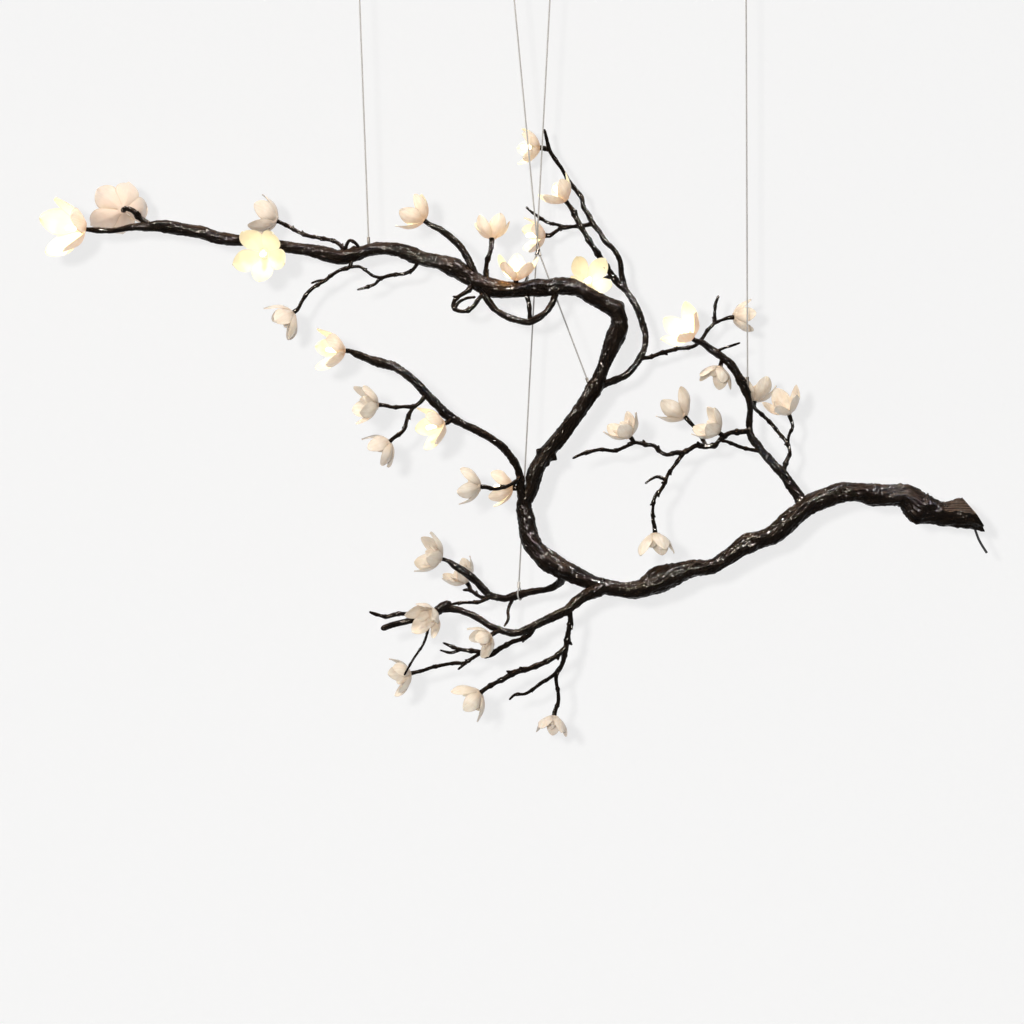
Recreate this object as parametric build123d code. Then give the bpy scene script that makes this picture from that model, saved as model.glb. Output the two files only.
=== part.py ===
from build123d import *
import math
import os

# Branch chandelier: a hollow bronze branch with porcelain blossoms, hung on four steel cables.
# Millimetres. The origin is the centre of the top face of ceiling cup B, +X runs towards the
# sawn butt of the branch, +Y away from the viewer and +Z up.

# Suspension
cable_dia = 3.0
cup_dia = 32.0
cup_height = 22.0
cup_wall = 5.0
cup_thread_dia = 5.0
cup_thread_depth = 7.0
collar_flange = 4.0
collar_flare = 3.0
thread_clearance = 0.1
ball_dia = 10.0
ball_drop = 15.0
ball_clearance = 0.3
throat_clearance = 1.0
shank_dia = 4.4
shank_length = 16.0
stud_dia = 6.0
stud_depth = 7.0
stud_out = 12.0
stud_clearance = 0.1
joint_ball_dia = 9.0
joint_barrel_dia = 5.6
joint_barrel_length = 13.0
ferrule_dia = 6.4
ferrule_length = 12.0
ferrule_gap = 2.0
loop_clearance = 0.3

# Wiring inside the branch
trunk_bore = 8.0
tip_bore = 4.4
bough_bore = 3.6
stem_bore = 2.4
wire_clearance = 0.25
cord_dia = 5.0
gland_dia = 12.0
gland_depth = 10.0
gland_out = 4.0
gland_clearance = 0.1
cord_clearance = 0.1

# Blossoms, all of one form that grows with the petal
neck_length = 10.0
neck_dia = 8.0
lit_neck_dia = 9.0
peg_dia = 5.0
peg_clearance = 0.15
hub_dia = 20.0
hub_thickness = 5.0
hub_fillet_in = 2.0
petal_wall = 2.5
petal_count = 5
petal_spread = 37.0
petal_bulge = 0.14
lobe_reach = 0.6
rim_trim = 1.5

# Lamps in the lit blossoms
holder_dia = 14.0
holder_height = 13.0
holder_floor = 7.0
lamp_dia = 9.0
lamp_length = 27.0
lamp_clearance = 0.15
wire_lead = 1.0

# Depth of the ceiling cups on the routes below, where the branch's weight hangs straight under them
hang_y = -21.0
pivot_z = -ball_drop
ceiling_x = {"a": -306, "b": 0, "c": 78, "d": 467}
bridle_point = Vector(52, -2, -560)

# Limb routes: x, y, z and diameter of hand-chosen points, from the root of a limb to its end.
trunk_route = [
    (924, 20, -1086, 66), (856, 14, -1086, 48), (816, 8, -1076, 58), (786, 4, -1052, 42),
    (756, 0, -1050, 38), (726, -4, -1050, 42), (696, -8, -1046, 38), (656, -12, -1046, 38),
    (626, -16, -1056, 38), (600, -19, -1066, 36), (564, -23, -1092, 38), (522, -28, -1128, 34),
    (462, -33, -1150, 36), (420, -37, -1182, 32), (396, -40, -1192, 30), (354, -43, -1198, 38),
    (288, -48, -1222, 44), (252, -50, -1238, 36),
    (176, -47, -1230, 30), (136, -44, -1214, 30), (100, -40, -1198, 36), (66, -34, -1176, 38),
    (36, -26, -1140, 34), (28, -20, -1100, 32), (24, -17, -1070, 30),
    (38, -14, -1040, 26), (48, -12, -1000, 30), (68, -10, -968, 30), (102, -12, -928, 30),
    (124, -14, -896, 29), (148, -16, -862, 29), (168, -18, -830, 30), (176, -20, -810, 26),
    (190, -23, -774, 28), (202, -26, -744, 35),
    (214, -30, -710, 34), (208, -32, -686, 33), (184, -34, -668, 32), (158, -37, -654, 32),
    (126, -40, -637, 32), (96, -44, -634, 34), (66, -48, -638, 32), (36, -53, -638, 32),
    (6, -57, -642, 32), (-24, -60, -642, 34),
    (-54, -56, -632, 35), (-84, -50, -616, 34), (-114, -45, -598, 33), (-144, -40, -586, 30),
    (-174, -31, -580, 31), (-204, -22, -568, 30), (-224, -16, -560, 28), (-254, -8, -558, 26),
    (-284, -3, -560, 27),
    (-324, 2, -572, 25), (-344, 4, -574, 28), (-364, 6, -570, 27), (-404, 10, -560, 24),
    (-434, 9, -556, 22), (-524, 5, -540, 22), (-554, 4, -540, 21), (-584, 2, -536, 25),
    (-624, 0, -524, 24), (-664, -3, -518, 24),
    (-704, -7, -512, 23), (-734, -11, -514, 18), (-764, -16, -516, 14), (-794, -21, -522, 12),
    (-824, -26, -522, 12),
]
sawn_face_normal = Vector(-0.84, 0, -0.54)
# Trunk castings: node, x of its first and last weld on the route, and the bore for the wiring
trunk_castings = [
    ("trunk_butt", 924, 656, trunk_bore),
    ("trunk_sweep", 656, 252, trunk_bore),
    ("trunk_bowl", 252, 24, trunk_bore),
    ("trunk_rise", 24, 202, trunk_bore),
    ("trunk_arch", 202, -24, trunk_bore),
    ("trunk_crest", -24, -284, trunk_bore),
    ("trunk_reach", -284, -664, trunk_bore),
    ("trunk_tip", -664, None, tip_bore),
]
gland_mouth = Vector(926, 20, -1113)
gland_axis = Vector(0.3, 0, -0.954).normalized()
cord_run_out = 26.0
cord_bend_share = 0.45
cord_tail = [(939, 22, -1147), (952, 24, -1166)]
wire_entry = [(918, 20, -1092), (900, 19, -1086)]

# Blossoms: base on its limb, axis the flower faces along, petal length, turn of the petals, lit
blossoms = {
    1: ((-854, -32, -520), (-0.88, -0.45, 0.03), 88, 0, True),
    2: ((-778, 2, -480), (-0.25, 0.93, 0.12), 84, 20, True),
    3: ((-470, 12, -502), (-0.9, 0.1, 0.35), 62, 10, False),
    4: ((-494, -18, -568), (-0.1, -0.97, -0.1), 80, 36, True),
    5: ((-436, -18, -686), (-0.75, -0.1, -0.65), 56, 0, False),
    6: ((-332, -82, -764), (-0.95, -0.3, 0.05), 64, 12, True),
    7: ((-266, -92, -872), (-0.95, -0.3, 0), 56, 30, False),
    8: ((-242, -90, -944), (-0.75, -0.1, -0.65), 52, 0, False),
    9: ((-136, -78, -908), (-0.85, -0.4, -0.25), 58, 15, True),
    10: ((-62, -70, -1034), (-0.97, -0.1, 0.05), 52, 0, False),
    11: ((2, -12, -1036), (-0.95, 0.15, 0.05), 52, 25, True),
    12: ((-174, -44, -504), (-0.8, 0.1, 0.6), 60, 0, True),
    13: ((-40, -60, -540), (0.05, 0.3, 0.95), 50, 10, True),
    14: ((66, 84, -526), (-0.95, -0.2, 0), 50, 0, True),
    15: ((8, -64, -622), (0.05, -0.3, 0.95), 58, 18, True),
    16: ((56, 108, -348), (-0.97, -0.1, 0.05), 52, 20, True),
    17: ((108, 64, -458), (-0.6, -0.15, 0.75), 52, 0, True),
    18: ((150, 66, -624), (0.15, -0.95, 0.2), 64, 30, True),
    19: ((358, -16, -734), (-0.55, -0.6, 0.55), 66, 0, True),
    20: ((446, 64, -692), (0.85, 0.3, 0.1), 46, 10, False),
    21: ((416, -4, -794), (-0.3, -0.2, -0.9), 46, 0, False),
    22: ((346, 2, -894), (-0.6, 0.35, 0.65), 58, 20, False),
    23: ((412, -38, -926), (-0.75, -0.1, 0.6), 54, 0, False),
    24: ((488, 58, -862), (0.1, 0.25, 0.95), 54, 15, False),
    25: ((554, 20, -886), (-0.35, -0.35, 0.85), 54, 0, False),
    26: ((234, -66, -934), (-0.6, -0.3, 0.75), 52, 30, False),
    27: ((284, -68, -1126), (0.05, -0.15, -0.98), 54, 0, False),
    28: ((-142, 70, -1178), (-0.93, -0.15, 0.3), 58, 10, False),
    29: ((-92, 128, -1226), (-0.55, -0.2, 0.8), 52, 0, False),
    30: ((-156, -112, -1282), (-0.6, -0.65, -0.45), 56, 25, False),
    31: ((-42, -96, -1328), (-0.8, -0.2, -0.5), 46, 0, False),
    32: ((-202, -36, -1406), (-0.95, -0.2, -0.2), 50, 10, False),
    33: ((-62, -85, -1442), (-0.75, -0.3, -0.6), 54, 0, False),
    34: ((84, -48, -1490), (-0.15, -0.2, -0.95), 44, 20, False),
}
# Blossoms that stand as twins or a trio on one spray share a node.
blossom_sprays = {
    "blossoms_03_05": (3, 5),
    "blossoms_07_08": (7, 8),
    "blossoms_20_21": (20, 21),
    "blossoms_22_23": (22, 23),
    "blossoms_24_25": (24, 25),
    "blossoms_26_27": (26, 27),
    "blossoms_28_29": (28, 29),
    "blossoms_30_31": (30, 31),
    "blossoms_32_33_34": (32, 33, 34),
}

# Limbs: name, node, limbs it is welded to, blossom on its end (0 for none), wiring bore, route.
limb_table = [
    ("left_bough", "left_bough", ["trunk"], 6, bough_bore, [
        (24, -20, -1078, 17), (18, -25, -1040, 16), (16, -28, -1014, 15), (8, -32, -990, 14),
        (-8, -36, -968, 14), (-24, -41, -950, 14), (-44, -46, -936, 14), (-74, -53, -920, 14),
        (-104, -60, -906, 15), (-130, -64, -890, 19), (-148, -67, -872, 17), (-168, -70, -852, 16),
        (-188, -73, -830, 16), (-214, -76, -808, 16), (-238, -78, -794, 17), (-254, -79, -790, 18),
        (-280, -80, -782, 15), (-306, -80, -772, 14)]),
    ("left_fork", "left_twigs", ["left_bough"], 7, 0, [
        (-170, -70, -850, 9), (-182, -76, -866, 8), (-194, -80, -874, 8), (-214, -84, -875, 7),
        (-238, -87, -876, 7)]),
    ("left_drop", "left_twigs", ["left_fork"], 8, 0, [
        (-194, -80, -874, 6), (-202, -82, -886, 7), (-208, -84, -900, 7), (-214, -86, -920, 7)]),
    ("inner_twig", "left_twigs", ["left_bough"], 10, 0, [
        (15, -29, -1013, 7), (8, -50, -1023, 7), (-6, -64, -1031, 7), (-22, -69, -1036, 7),
        (-38, -70, -1038, 7)]),
    ("stem_9", "left_twigs", ["left_bough"], 9, stem_bore, [(-119, -62, -898, 9)]),
    ("stem_11", "left_twigs", ["left_bough"], 11, stem_bore, [(19, -24, -1038, 9)]),
    ("upper_bough", "upper_bough", ["trunk"], 0, bough_bore, [
        (168, -18, -832, 16), (184, -9, -828, 14), (206, 2, -820, 14), (228, 12, -810, 13),
        (244, 20, -794, 13), (256, 28, -776, 13), (266, 34, -754, 12), (268, 38, -734, 12),
        (262, 44, -704, 12), (252, 48, -676, 12), (240, 52, -654, 12), (228, 55, -636, 12),
        (221, 58, -610, 11), (216, 59, -576, 10), (203, 60, -554, 10), (188, 60, -540, 10),
        (176, 66, -520, 10), (162, 74, -502, 11), (155, 83, -486, 10), (145, 92, -470, 9),
        (140, 101, -448, 9), (128, 107, -432, 9), (114, 110, -414, 9), (102, 110, -392, 8),
        (88, 108, -372, 8), (76, 106, -352, 8), (70, 104, -330, 7), (65, 103, -310, 6)]),
    ("upper_fork", "upper_twigs", ["upper_bough"], 17, bough_bore, [
        (230, 55, -638, 10), (214, 55, -626, 11), (200, 54, -606, 11), (188, 52, -588, 11),
        (172, 50, -564, 11), (156, 49, -540, 10), (142, 50, -516, 10), (130, 55, -494, 10),
        (121, 61, -476, 10)]),
    ("stem_16", "upper_twigs", ["upper_bough"], 16, stem_bore, [(77, 106, -352, 7)]),
    ("cross_twig", "upper_twigs", ["upper_bough"], 14, stem_bore, [
        (163, 74, -503, 8), (146, 84, -506, 8), (126, 88, -508, 7), (102, 88, -510, 7),
        (86, 87, -520, 7)]),
    ("cross_prong", "upper_twigs", ["cross_twig"], 0, 0, [
        (106, 88, -509, 6), (90, 87, -504, 6), (72, 86, -500, 6), (56, 85, -490, 6),
        (36, 84, -476, 5), (28, 84, -468, 4)]),
    ("stem_18", "upper_twigs", ["upper_fork"], 18, stem_bore, [
        (201, 54, -607, 8), (190, 74, -614, 9), (174, 94, -621, 9), (156, 95, -626, 9)]),
    ("right_link", "upper_twigs", ["upper_bough"], 0, 0, [
        (256, 28, -776, 9), (274, 37, -774, 8), (296, 44, -766, 8), (316, 50, -760, 8),
        (332, 54, -756, 7), (352, 58, -754, 7), (366, 60, -750, 7), (382, 60, -736, 7),
        (392, 60, -720, 7), (406, 60, -704, 7), (408, 60, -680, 6), (410, 60, -664, 6),
        (416, 60, -648, 4)]),
    ("stem_20", "upper_twigs", ["right_link"], 20, 0, [(405, 60, -705, 6), (422, 60, -698, 6)]),
    ("right_bough", "right_bough", ["trunk"], 19, bough_bore, [
        (584, -21, -1080, 24), (572, -16, -1052, 20), (556, -13, -1030, 19), (542, -11, -1008, 18),
        (528, -10, -994, 17), (508, -8, -972, 16), (490, -7, -950, 15), (478, -6, -934, 14),
        (474, -5, -910, 13), (476, -4, -880, 12), (472, -4, -854, 13), (464, -4, -834, 18),
        (452, -5, -812, 16), (436, -6, -788, 15), (416, -8, -772, 15), (400, -10, -760, 14),
        (380, -11, -746, 12)]),
    ("right_prong", "right_twigs", ["right_bough"], 0, 0, [
        (406, -9, -765, 6), (420, -13, -758, 5), (438, -15, -752, 5), (456, -16, -746, 4)]),
    ("stem_21", "right_twigs", ["right_bough"], 21, 0, [(422, -7, -776, 7)]),
    ("right_spray", "right_twigs", ["right_bough"], 0, 0, [
        (475, -5, -922, 9), (456, -16, -924, 10), (436, -26, -926, 9), (424, -32, -932, 9),
        (414, -37, -940, 9), (406, -41, -950, 10), (386, -47, -954, 10), (366, -52, -952, 9),
        (352, -55, -960, 9), (340, -57, -966, 9), (326, -59, -966, 9), (306, -61, -970, 8),
        (292, -62, -962, 8), (282, -62, -952, 8), (266, -62, -950, 8), (242, -62, -946, 8),
        (226, -62, -954, 7), (206, -62, -962, 7), (176, -62, -960, 7), (156, -62, -964, 7),
        (136, -62, -970, 6), (120, -62, -978, 4)]),
    ("right_brace", "right_twigs", ["right_bough", "right_spray"], 0, 0, [
        (499, -7, -962, 8), (474, -16, -959, 7), (452, -25, -953, 7), (432, -33, -945, 7),
        (414, -37, -941, 6)]),
    ("stem_26", "right_twigs", ["right_spray"], 26, 0, [(243, -62, -946, 6)]),
    ("right_drop", "right_twigs", ["right_spray"], 27, 0, [
        (342, -57, -965, 7), (324, -62, -990, 7), (310, -64, -1010, 7), (304, -65, -1024, 7),
        (296, -66, -1040, 7), (284, -66, -1054, 7), (280, -66, -1076, 6), (280, -66, -1098, 7)]),
    ("right_stub", "right_twigs", ["right_drop"], 0, 0, [
        (305, -65, -1020, 6), (288, -66, -1014, 6), (278, -66, -1018, 5), (264, -66, -1028, 4)]),
    ("stem_22", "right_twigs", ["right_spray"], 22, 0, [
        (386, -47, -953, 7), (383, -28, -944, 7), (376, -10, -932, 7), (364, -4, -914, 7)]),
    ("stem_23", "right_twigs", ["right_spray"], 23, 0, [(424, -34, -935, 7)]),
    ("back_twig", "right_twigs", ["right_bough"], 24, 0, [
        (541, -11, -1006, 8), (550, 2, -980, 8), (556, 8, -968, 7), (552, 15, -948, 7),
        (536, 27, -926, 7), (520, 39, -906, 7), (502, 49, -888, 7)]),
    ("stem_25", "right_twigs", ["back_twig"], 25, 0, [
        (552, 15, -950, 6), (555, 17, -930, 6), (562, 19, -914, 6)]),
    ("crest_stem", "arch_twigs", ["trunk"], 12, stem_bore, [
        (-72, -52, -622, 15), (-86, -52, -584, 14), (-100, -50, -560, 13), (-124, -48, -536, 13),
        (-150, -46, -518, 12)]),
    ("arch_stem", "arch_twigs", ["trunk"], 13, stem_bore, [
        (-48, -57, -634, 10), (-52, -62, -604, 9), (-49, -65, -584, 9), (-43, -66, -566, 9)]),
    ("stem_15", "arch_twigs", ["trunk"], 15, stem_bore, [(8, -57, -641, 10)]),
    ("arch_loop", "arch_twigs", ["trunk"], 0, 0, [
        (-66, -54, -628, 13), (-50, -63, -660, 13), (-33, -65, -682, 13), (-10, -66, -696, 13),
        (16, -65, -704, 13), (33, -64, -706, 13), (49, -62, -700, 13), (67, -59, -687, 12),
        (79, -55, -670, 12), (90, -46, -638, 12)]),
    ("loop_tie", "arch_twigs", ["trunk", "arch_loop"], 0, 0, [
        (26, -54, -640, 9), (34, -61, -674, 9), (36, -63, -705, 9)]),
    ("crest_curl", "arch_twigs", ["trunk", "arch_loop"], 0, 0, [
        (-80, -52, -619, 9), (-84, -60, -640, 9), (-100, -65, -652, 8), (-114, -68, -664, 8),
        (-117, -70, -677, 8), (-104, -71, -685, 8), (-88, -71, -684, 8), (-77, -70, -676, 8),
        (-67, -68, -662, 8), (-56, -62, -650, 8)]),
    ("crest_twig", "arch_twigs", ["trunk"], 0, 0, [
        (-182, -29, -578, 8), (-200, -24, -602, 7), (-214, -20, -608, 7), (-234, -15, -610, 7),
        (-254, -11, -614, 7), (-265, -10, -619, 7), (-273, -9, -628, 6), (-288, -8, -634, 6),
        (-310, -7, -640, 4)]),
    ("long_twig", "reach_twigs", ["trunk"], 3, 0, [
        (-330, 3, -573, 8), (-343, 2, -551, 7), (-354, 2, -543, 7), (-374, 4, -538, 7),
        (-394, 6, -534, 7), (-418, 8, -528, 7), (-434, 9, -520, 7), (-448, 10, -512, 7)]),
    ("hanging_twig", "reach_twigs", ["trunk"], 5, 0, [
        (-320, 2, -571, 8), (-325, -4, -594, 7), (-344, -7, -601, 7), (-360, -9, -610, 7),
        (-374, -11, -622, 7), (-394, -13, -634, 7), (-408, -14, -646, 7), (-420, -15, -664, 7)]),
    ("hanging_stub", "reach_twigs", ["hanging_twig"], 0, 0, [
        (-372, -11, -621, 5), (-386, -9, -622, 5), (-402, -8, -627, 4)]),
    ("twig_link", "reach_twigs", ["hanging_twig", "crest_twig"], 0, 0, [
        (-326, -4, -594, 6), (-304, -5, -594, 6), (-290, -7, -603, 6), (-276, -9, -613, 6),
        (-260, -10, -616, 6)]),
    ("stem_4", "reach_twigs", ["trunk"], 4, stem_bore, [(-492, 6, -546, 10)]),
    ("tip_stem", "reach_twigs", ["trunk"], 2, stem_bore, [
        (-722, -9, -513, 10), (-744, -13, -496, 10), (-758, -16, -482, 10), (-771, -17, -478, 9)]),
    ("lower_left_bough", "lower_left_bough", ["trunk"], 28, 0, [
        (108, -38, -1202, 16), (96, -8, -1224, 14), (82, 10, -1234, 13), (66, 24, -1240, 12),
        (46, 38, -1243, 13), (30, 45, -1246, 14), (16, 50, -1250, 17), (2, 53, -1254, 15),
        (-14, 57, -1258, 13), (-30, 60, -1256, 12), (-44, 62, -1252, 13), (-58, 64, -1238, 14),
        (-74, 66, -1222, 15), (-94, 68, -1206, 15), (-114, 69, -1193, 13)]),
    ("lower_back_twig", "lower_twigs", ["lower_left_bough"], 0, 0, [
        (-42, 62, -1253, 8), (-56, 80, -1258, 8), (-72, 101, -1251, 7), (-86, 117, -1242, 7),
        (-100, 122, -1242, 5)]),
    ("stem_29", "lower_twigs", ["lower_back_twig"], 29, 0, [(-82, 113, -1245, 6)]),
    ("lower_left_prong", "lower_twigs", ["lower_left_bough"], 0, 0, [
        (-40, 61, -1254, 7), (-66, 57, -1265, 7), (-94, 54, -1266, 6), (-114, 52, -1268, 6),
        (-130, 50, -1272, 4)]),
    ("lower_cross_twig", "lower_twigs", ["lower_left_bough"], 0, 0, [
        (3, 53, -1255, 7), (-8, 44, -1282, 6), (-8, 32, -1300, 6), (-16, 22, -1314, 4)]),
    ("lower_bough", "lower_bough", ["trunk"], 0, 0, [
        (184, -47, -1230, 24), (170, -58, -1240, 22), (146, -63, -1250, 20), (126, -66, -1264, 19),
        (110, -69, -1278, 18), (86, -73, -1290, 17), (56, -77, -1304, 16), (32, -80, -1316, 15),
        (6, -83, -1324, 14), (-18, -85, -1320, 13), (-44, -87, -1310, 13), (-68, -88, -1294, 12),
        (-94, -89, -1282, 12), (-120, -90, -1276, 13), (-140, -90, -1276, 18), (-154, -90, -1284, 15),
        (-184, -90, -1294, 13), (-214, -89, -1302, 12), (-244, -88, -1310, 12), (-260, -88, -1316, 12)]),
    ("lower_prong", "lower_twigs", ["lower_bough"], 0, 0, [
        (-148, -88, -1280, 9), (-172, -77, -1284, 8), (-200, -73, -1286, 8), (-220, -72, -1286, 8),
        (-234, -71, -1288, 8), (-248, -70, -1292, 8), (-268, -69, -1288, 7), (-284, -69, -1282, 5)]),
    ("stem_30", "lower_twigs", ["lower_bough"], 30, 0, [(-144, -91, -1276, 8)]),
    ("stem_31", "lower_twigs", ["lower_bough"], 31, 0, [(-24, -86, -1318, 7)]),
    ("lower_whip", "lower_twigs", ["lower_bough"], 0, 0, [
        (-162, -90, -1287, 6), (-166, -84, -1316, 5), (-178, -83, -1350, 5), (-192, -83, -1370, 5),
        (-214, -84, -1408, 4)]),
    ("lower_spray", "lower_twigs", ["lower_bough"], 0, 0, [
        (46, -78, -1308, 10), (34, -70, -1328, 9), (20, -66, -1336, 9), (0, -63, -1342, 9),
        (-18, -60, -1352, 9), (-34, -57, -1360, 8), (-54, -54, -1362, 8), (-84, -51, -1360, 8),
        (-108, -49, -1356, 7), (-124, -48, -1350, 6), (-138, -47, -1344, 4)]),
    ("spray_prong", "lower_twigs", ["lower_spray"], 0, 0, [
        (-102, -49, -1357, 6), (-120, -45, -1364, 6), (-144, -43, -1359, 4)]),
    ("spray_stub", "lower_twigs", ["lower_spray"], 0, 0, [
        (-22, -59, -1354, 7), (-40, -62, -1369, 6), (-56, -64, -1374, 4)]),
    ("spray_drop", "lower_twigs", ["lower_spray"], 32, 0, [
        (-58, -53, -1362, 7), (-80, -48, -1376, 7), (-93, -45, -1384, 7), (-114, -42, -1385, 7),
        (-134, -40, -1388, 7), (-160, -37, -1394, 7), (-178, -34, -1400, 7)]),
    ("drop_stub", "lower_twigs", ["spray_drop"], 0, 0, [(-92, -45, -1384, 6), (-108, -49, -1398, 4)]),
    ("lowest_twig", "lower_twigs", ["lower_bough"], 0, 0, [
        (112, -69, -1276, 11), (116, -64, -1300, 10), (112, -61, -1324, 10), (108, -58, -1350, 10),
        (104, -56, -1370, 9), (98, -54, -1390, 9), (86, -52, -1406, 8), (72, -51, -1416, 7),
        (56, -50, -1426, 7), (40, -49, -1438, 6), (26, -48, -1446, 6), (6, -47, -1448, 6),
        (-6, -46, -1458, 4)]),
    ("lowest_stem", "lower_twigs", ["lowest_twig"], 34, 0, [
        (88, -52, -1404, 7), (88, -50, -1422, 7), (92, -48, -1444, 7), (92, -46, -1462, 7)]),
    ("lowest_fork", "lower_twigs", ["lowest_twig"], 33, 0, [
        (108, -58, -1352, 8), (88, -67, -1370, 10), (66, -72, -1382, 10), (36, -77, -1394, 10),
        (6, -80, -1402, 10), (-18, -81, -1416, 9), (-38, -81, -1426, 9)]),
]
# Route point at which the wiring leaves a limb that carries it only part of the way
wire_ends = {"upper_bough": 25}
# How far along a parent a child's weld can run
weld_reach = 75.0


def facing(axis):
    return Vector(*axis).normalized()


def biggest(shape):
    """The main solid of a boolean's result."""
    solids = [s for part in shape for s in part.solids()] if isinstance(shape, list) else shape.solids()
    return max(solids, key=lambda s: s.volume)


def rod(start, end, diameter):
    """A round bar from one point to another."""
    along = end - start
    return Solid.make_cylinder(diameter / 2, along.length, Plane(origin=start, z_dir=along))


def ball(centre, diameter):
    return Solid.make_sphere(diameter / 2, Plane(origin=centre), -90, 90, 360)


class Limb:
    """A tapering round limb: circles along a route, square to it, joined by ruled surfaces."""

    def __init__(self, route, start_axis=None, end_axis=None):
        self.centres = [Vector(x, y, z) for x, y, z, _ in route]
        self.diameters = [d for *_, d in route]
        last = len(route) - 1
        self.axes = [
            (self.centres[min(i + 1, last)] - self.centres[max(i - 1, 0)]).normalized()
            for i in range(last + 1)
        ]
        if start_axis is not None:
            self.axes[0] = start_axis.normalized()
        if end_axis is not None:
            self.axes[-1] = end_axis
        self.sides = []
        side = Vector(0, 1, 0) if abs(self.axes[0].Y) < 0.8 else Vector(1, 0, 0)
        for axis in self.axes:
            side = (side - axis * side.dot(axis)).normalized()
            self.sides.append(side)

    def solid(self, first=0, last=None, diameter=None):
        """The limb, or a stretch of it, at its own taper or at one diameter."""
        stop = len(self.centres) if last is None else last + 1
        rings = [
            Wire.make_circle(
                (diameter or self.diameters[i]) / 2,
                Plane(origin=self.centres[i], x_dir=self.sides[i], z_dir=self.axes[i]),
            )
            for i in range(first, stop)
        ]
        return Solid.make_loft(rings, True)

    def beside(self, point, reach):
        """First and last section of the stretch within reach of a point."""
        near = [i for i, c in enumerate(self.centres) if (c - point).length < reach]
        closest = min(range(len(self.centres)), key=lambda i: (self.centres[i] - point).length)
        first = max(min(near + [closest]) - 1, 0)
        last = min(max(near + [closest]) + 1, len(self.centres) - 1)
        return first, last

    def nearest(self, point):
        return min(range(len(self.centres)), key=lambda i: (self.centres[i] - point).length)


def flower_plane(number):
    """The plane of a blossom's back face: its z axis is the way the flower faces."""
    base, axis, _, turn, _ = blossoms[number]
    z_dir = facing(axis)
    up = Vector(0, 0, 1) if abs(z_dir.Z) < 0.8 else Vector(1, 0, 0)
    side = (up - z_dir * up.dot(z_dir)).normalized()
    angle = math.radians(turn)
    x_dir = side * math.cos(angle) + z_dir.cross(side) * math.sin(angle)
    return Plane(origin=Vector(*base), x_dir=x_dir, z_dir=z_dir)


def stem_end(number):
    """The last two route points of a limb that carries a blossom."""
    base, axis, _, _, lit = blossoms[number]
    diameter = lit_neck_dia if lit else neck_dia
    seat = Vector(*base)
    neck = seat - facing(axis) * neck_length
    return [(*neck, diameter), (*seat, diameter)]


def make_limb(flower, route, start_axis=None):
    if not flower:
        return Limb(route, start_axis)
    return Limb(route + stem_end(flower), start_axis, facing(blossoms[flower][1]))


def peg_length(number):
    lit = blossoms[number][4]
    return hub_thickness + holder_floor - wire_lead if lit else hub_thickness


def peg(number):
    """The spigot on a limb's end that the blossom sits on, and the lamp holder where there is one."""
    plane = flower_plane(number)
    return rod(plane.origin, plane.origin + plane.z_dir * peg_length(number), peg_dia)


def porcelain_blossom(petal):
    """A revolved cup on a flat hub, trimmed to five round petals."""
    lean = math.radians(petal_spread)
    out, up = math.sin(lean), math.cos(lean)
    foot = hub_dia / 2
    hole = peg_dia / 2 + peg_clearance
    tip = Vector(foot + petal * out, 0, petal * up)
    middle = Vector(foot + petal * out / 2, 0, petal * up / 2) + Vector(up, 0, -out) * petal * petal_bulge
    inward = Vector(-up, 0, out) * petal_wall
    profile = Wire([
        Edge.make_line((hole, 0, 0), (foot, 0, 0)),
        Edge.make_three_point_arc((foot, 0, 0), middle, tip),
        Edge.make_line(tip, tip + inward),
        Edge.make_three_point_arc(tip + inward, middle + inward, (foot + hub_fillet_in, 0, hub_thickness)),
        Edge.make_line((foot + hub_fillet_in, 0, hub_thickness), (hole, 0, hub_thickness)),
        Edge.make_line((hole, 0, hub_thickness), (hole, 0, 0)),
    ])
    cup = Solid.revolve(Face(profile), 360, Axis.Z)
    reach = tip.X - rim_trim
    centre = reach * lobe_reach
    lobe = reach - centre
    half = math.pi / petal_count
    notch = centre * math.cos(half) + math.sqrt(lobe ** 2 - (centre * math.sin(half)) ** 2)
    edges = []
    for k in range(petal_count):
        turn = 2 * half * k
        ends = [Vector(notch * math.cos(turn + s * half), notch * math.sin(turn + s * half), 0) for s in (-1, 1)]
        crown = Vector(reach * math.cos(turn), reach * math.sin(turn), 0)
        edges.append(Edge.make_three_point_arc(ends[0], crown, ends[1]))
    outline = Face(Wire(edges)).moved(Location((0, 0, -petal)))
    lobes = Solid.extrude(outline, Vector(0, 0, 3 * petal))
    return biggest(cup.intersect(lobes))


def lamp_holder():
    """A cup with a floor hole for the spigot and a recess for the lamp."""
    body = Solid.make_cylinder(holder_dia / 2, holder_height, Plane(origin=(0, 0, hub_thickness)))
    hole = Solid.make_cylinder(peg_dia / 2 + peg_clearance, holder_floor, Plane(origin=(0, 0, hub_thickness)))
    recess = Solid.make_cylinder(
        lamp_dia / 2 + lamp_clearance,
        holder_height - holder_floor,
        Plane(origin=(0, 0, hub_thickness + holder_floor)),
    )
    return biggest(body.cut(hole, recess))


def led_lamp():
    """A capsule lamp: a round bar with a domed end."""
    floor = hub_thickness + holder_floor
    shoulder = lamp_length - lamp_dia / 2
    body = Solid.make_cylinder(lamp_dia / 2, shoulder, Plane(origin=(0, 0, floor)))
    dome = ball(Vector(0, 0, floor + shoulder), lamp_dia)
    return biggest(body.fuse(dome))


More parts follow.
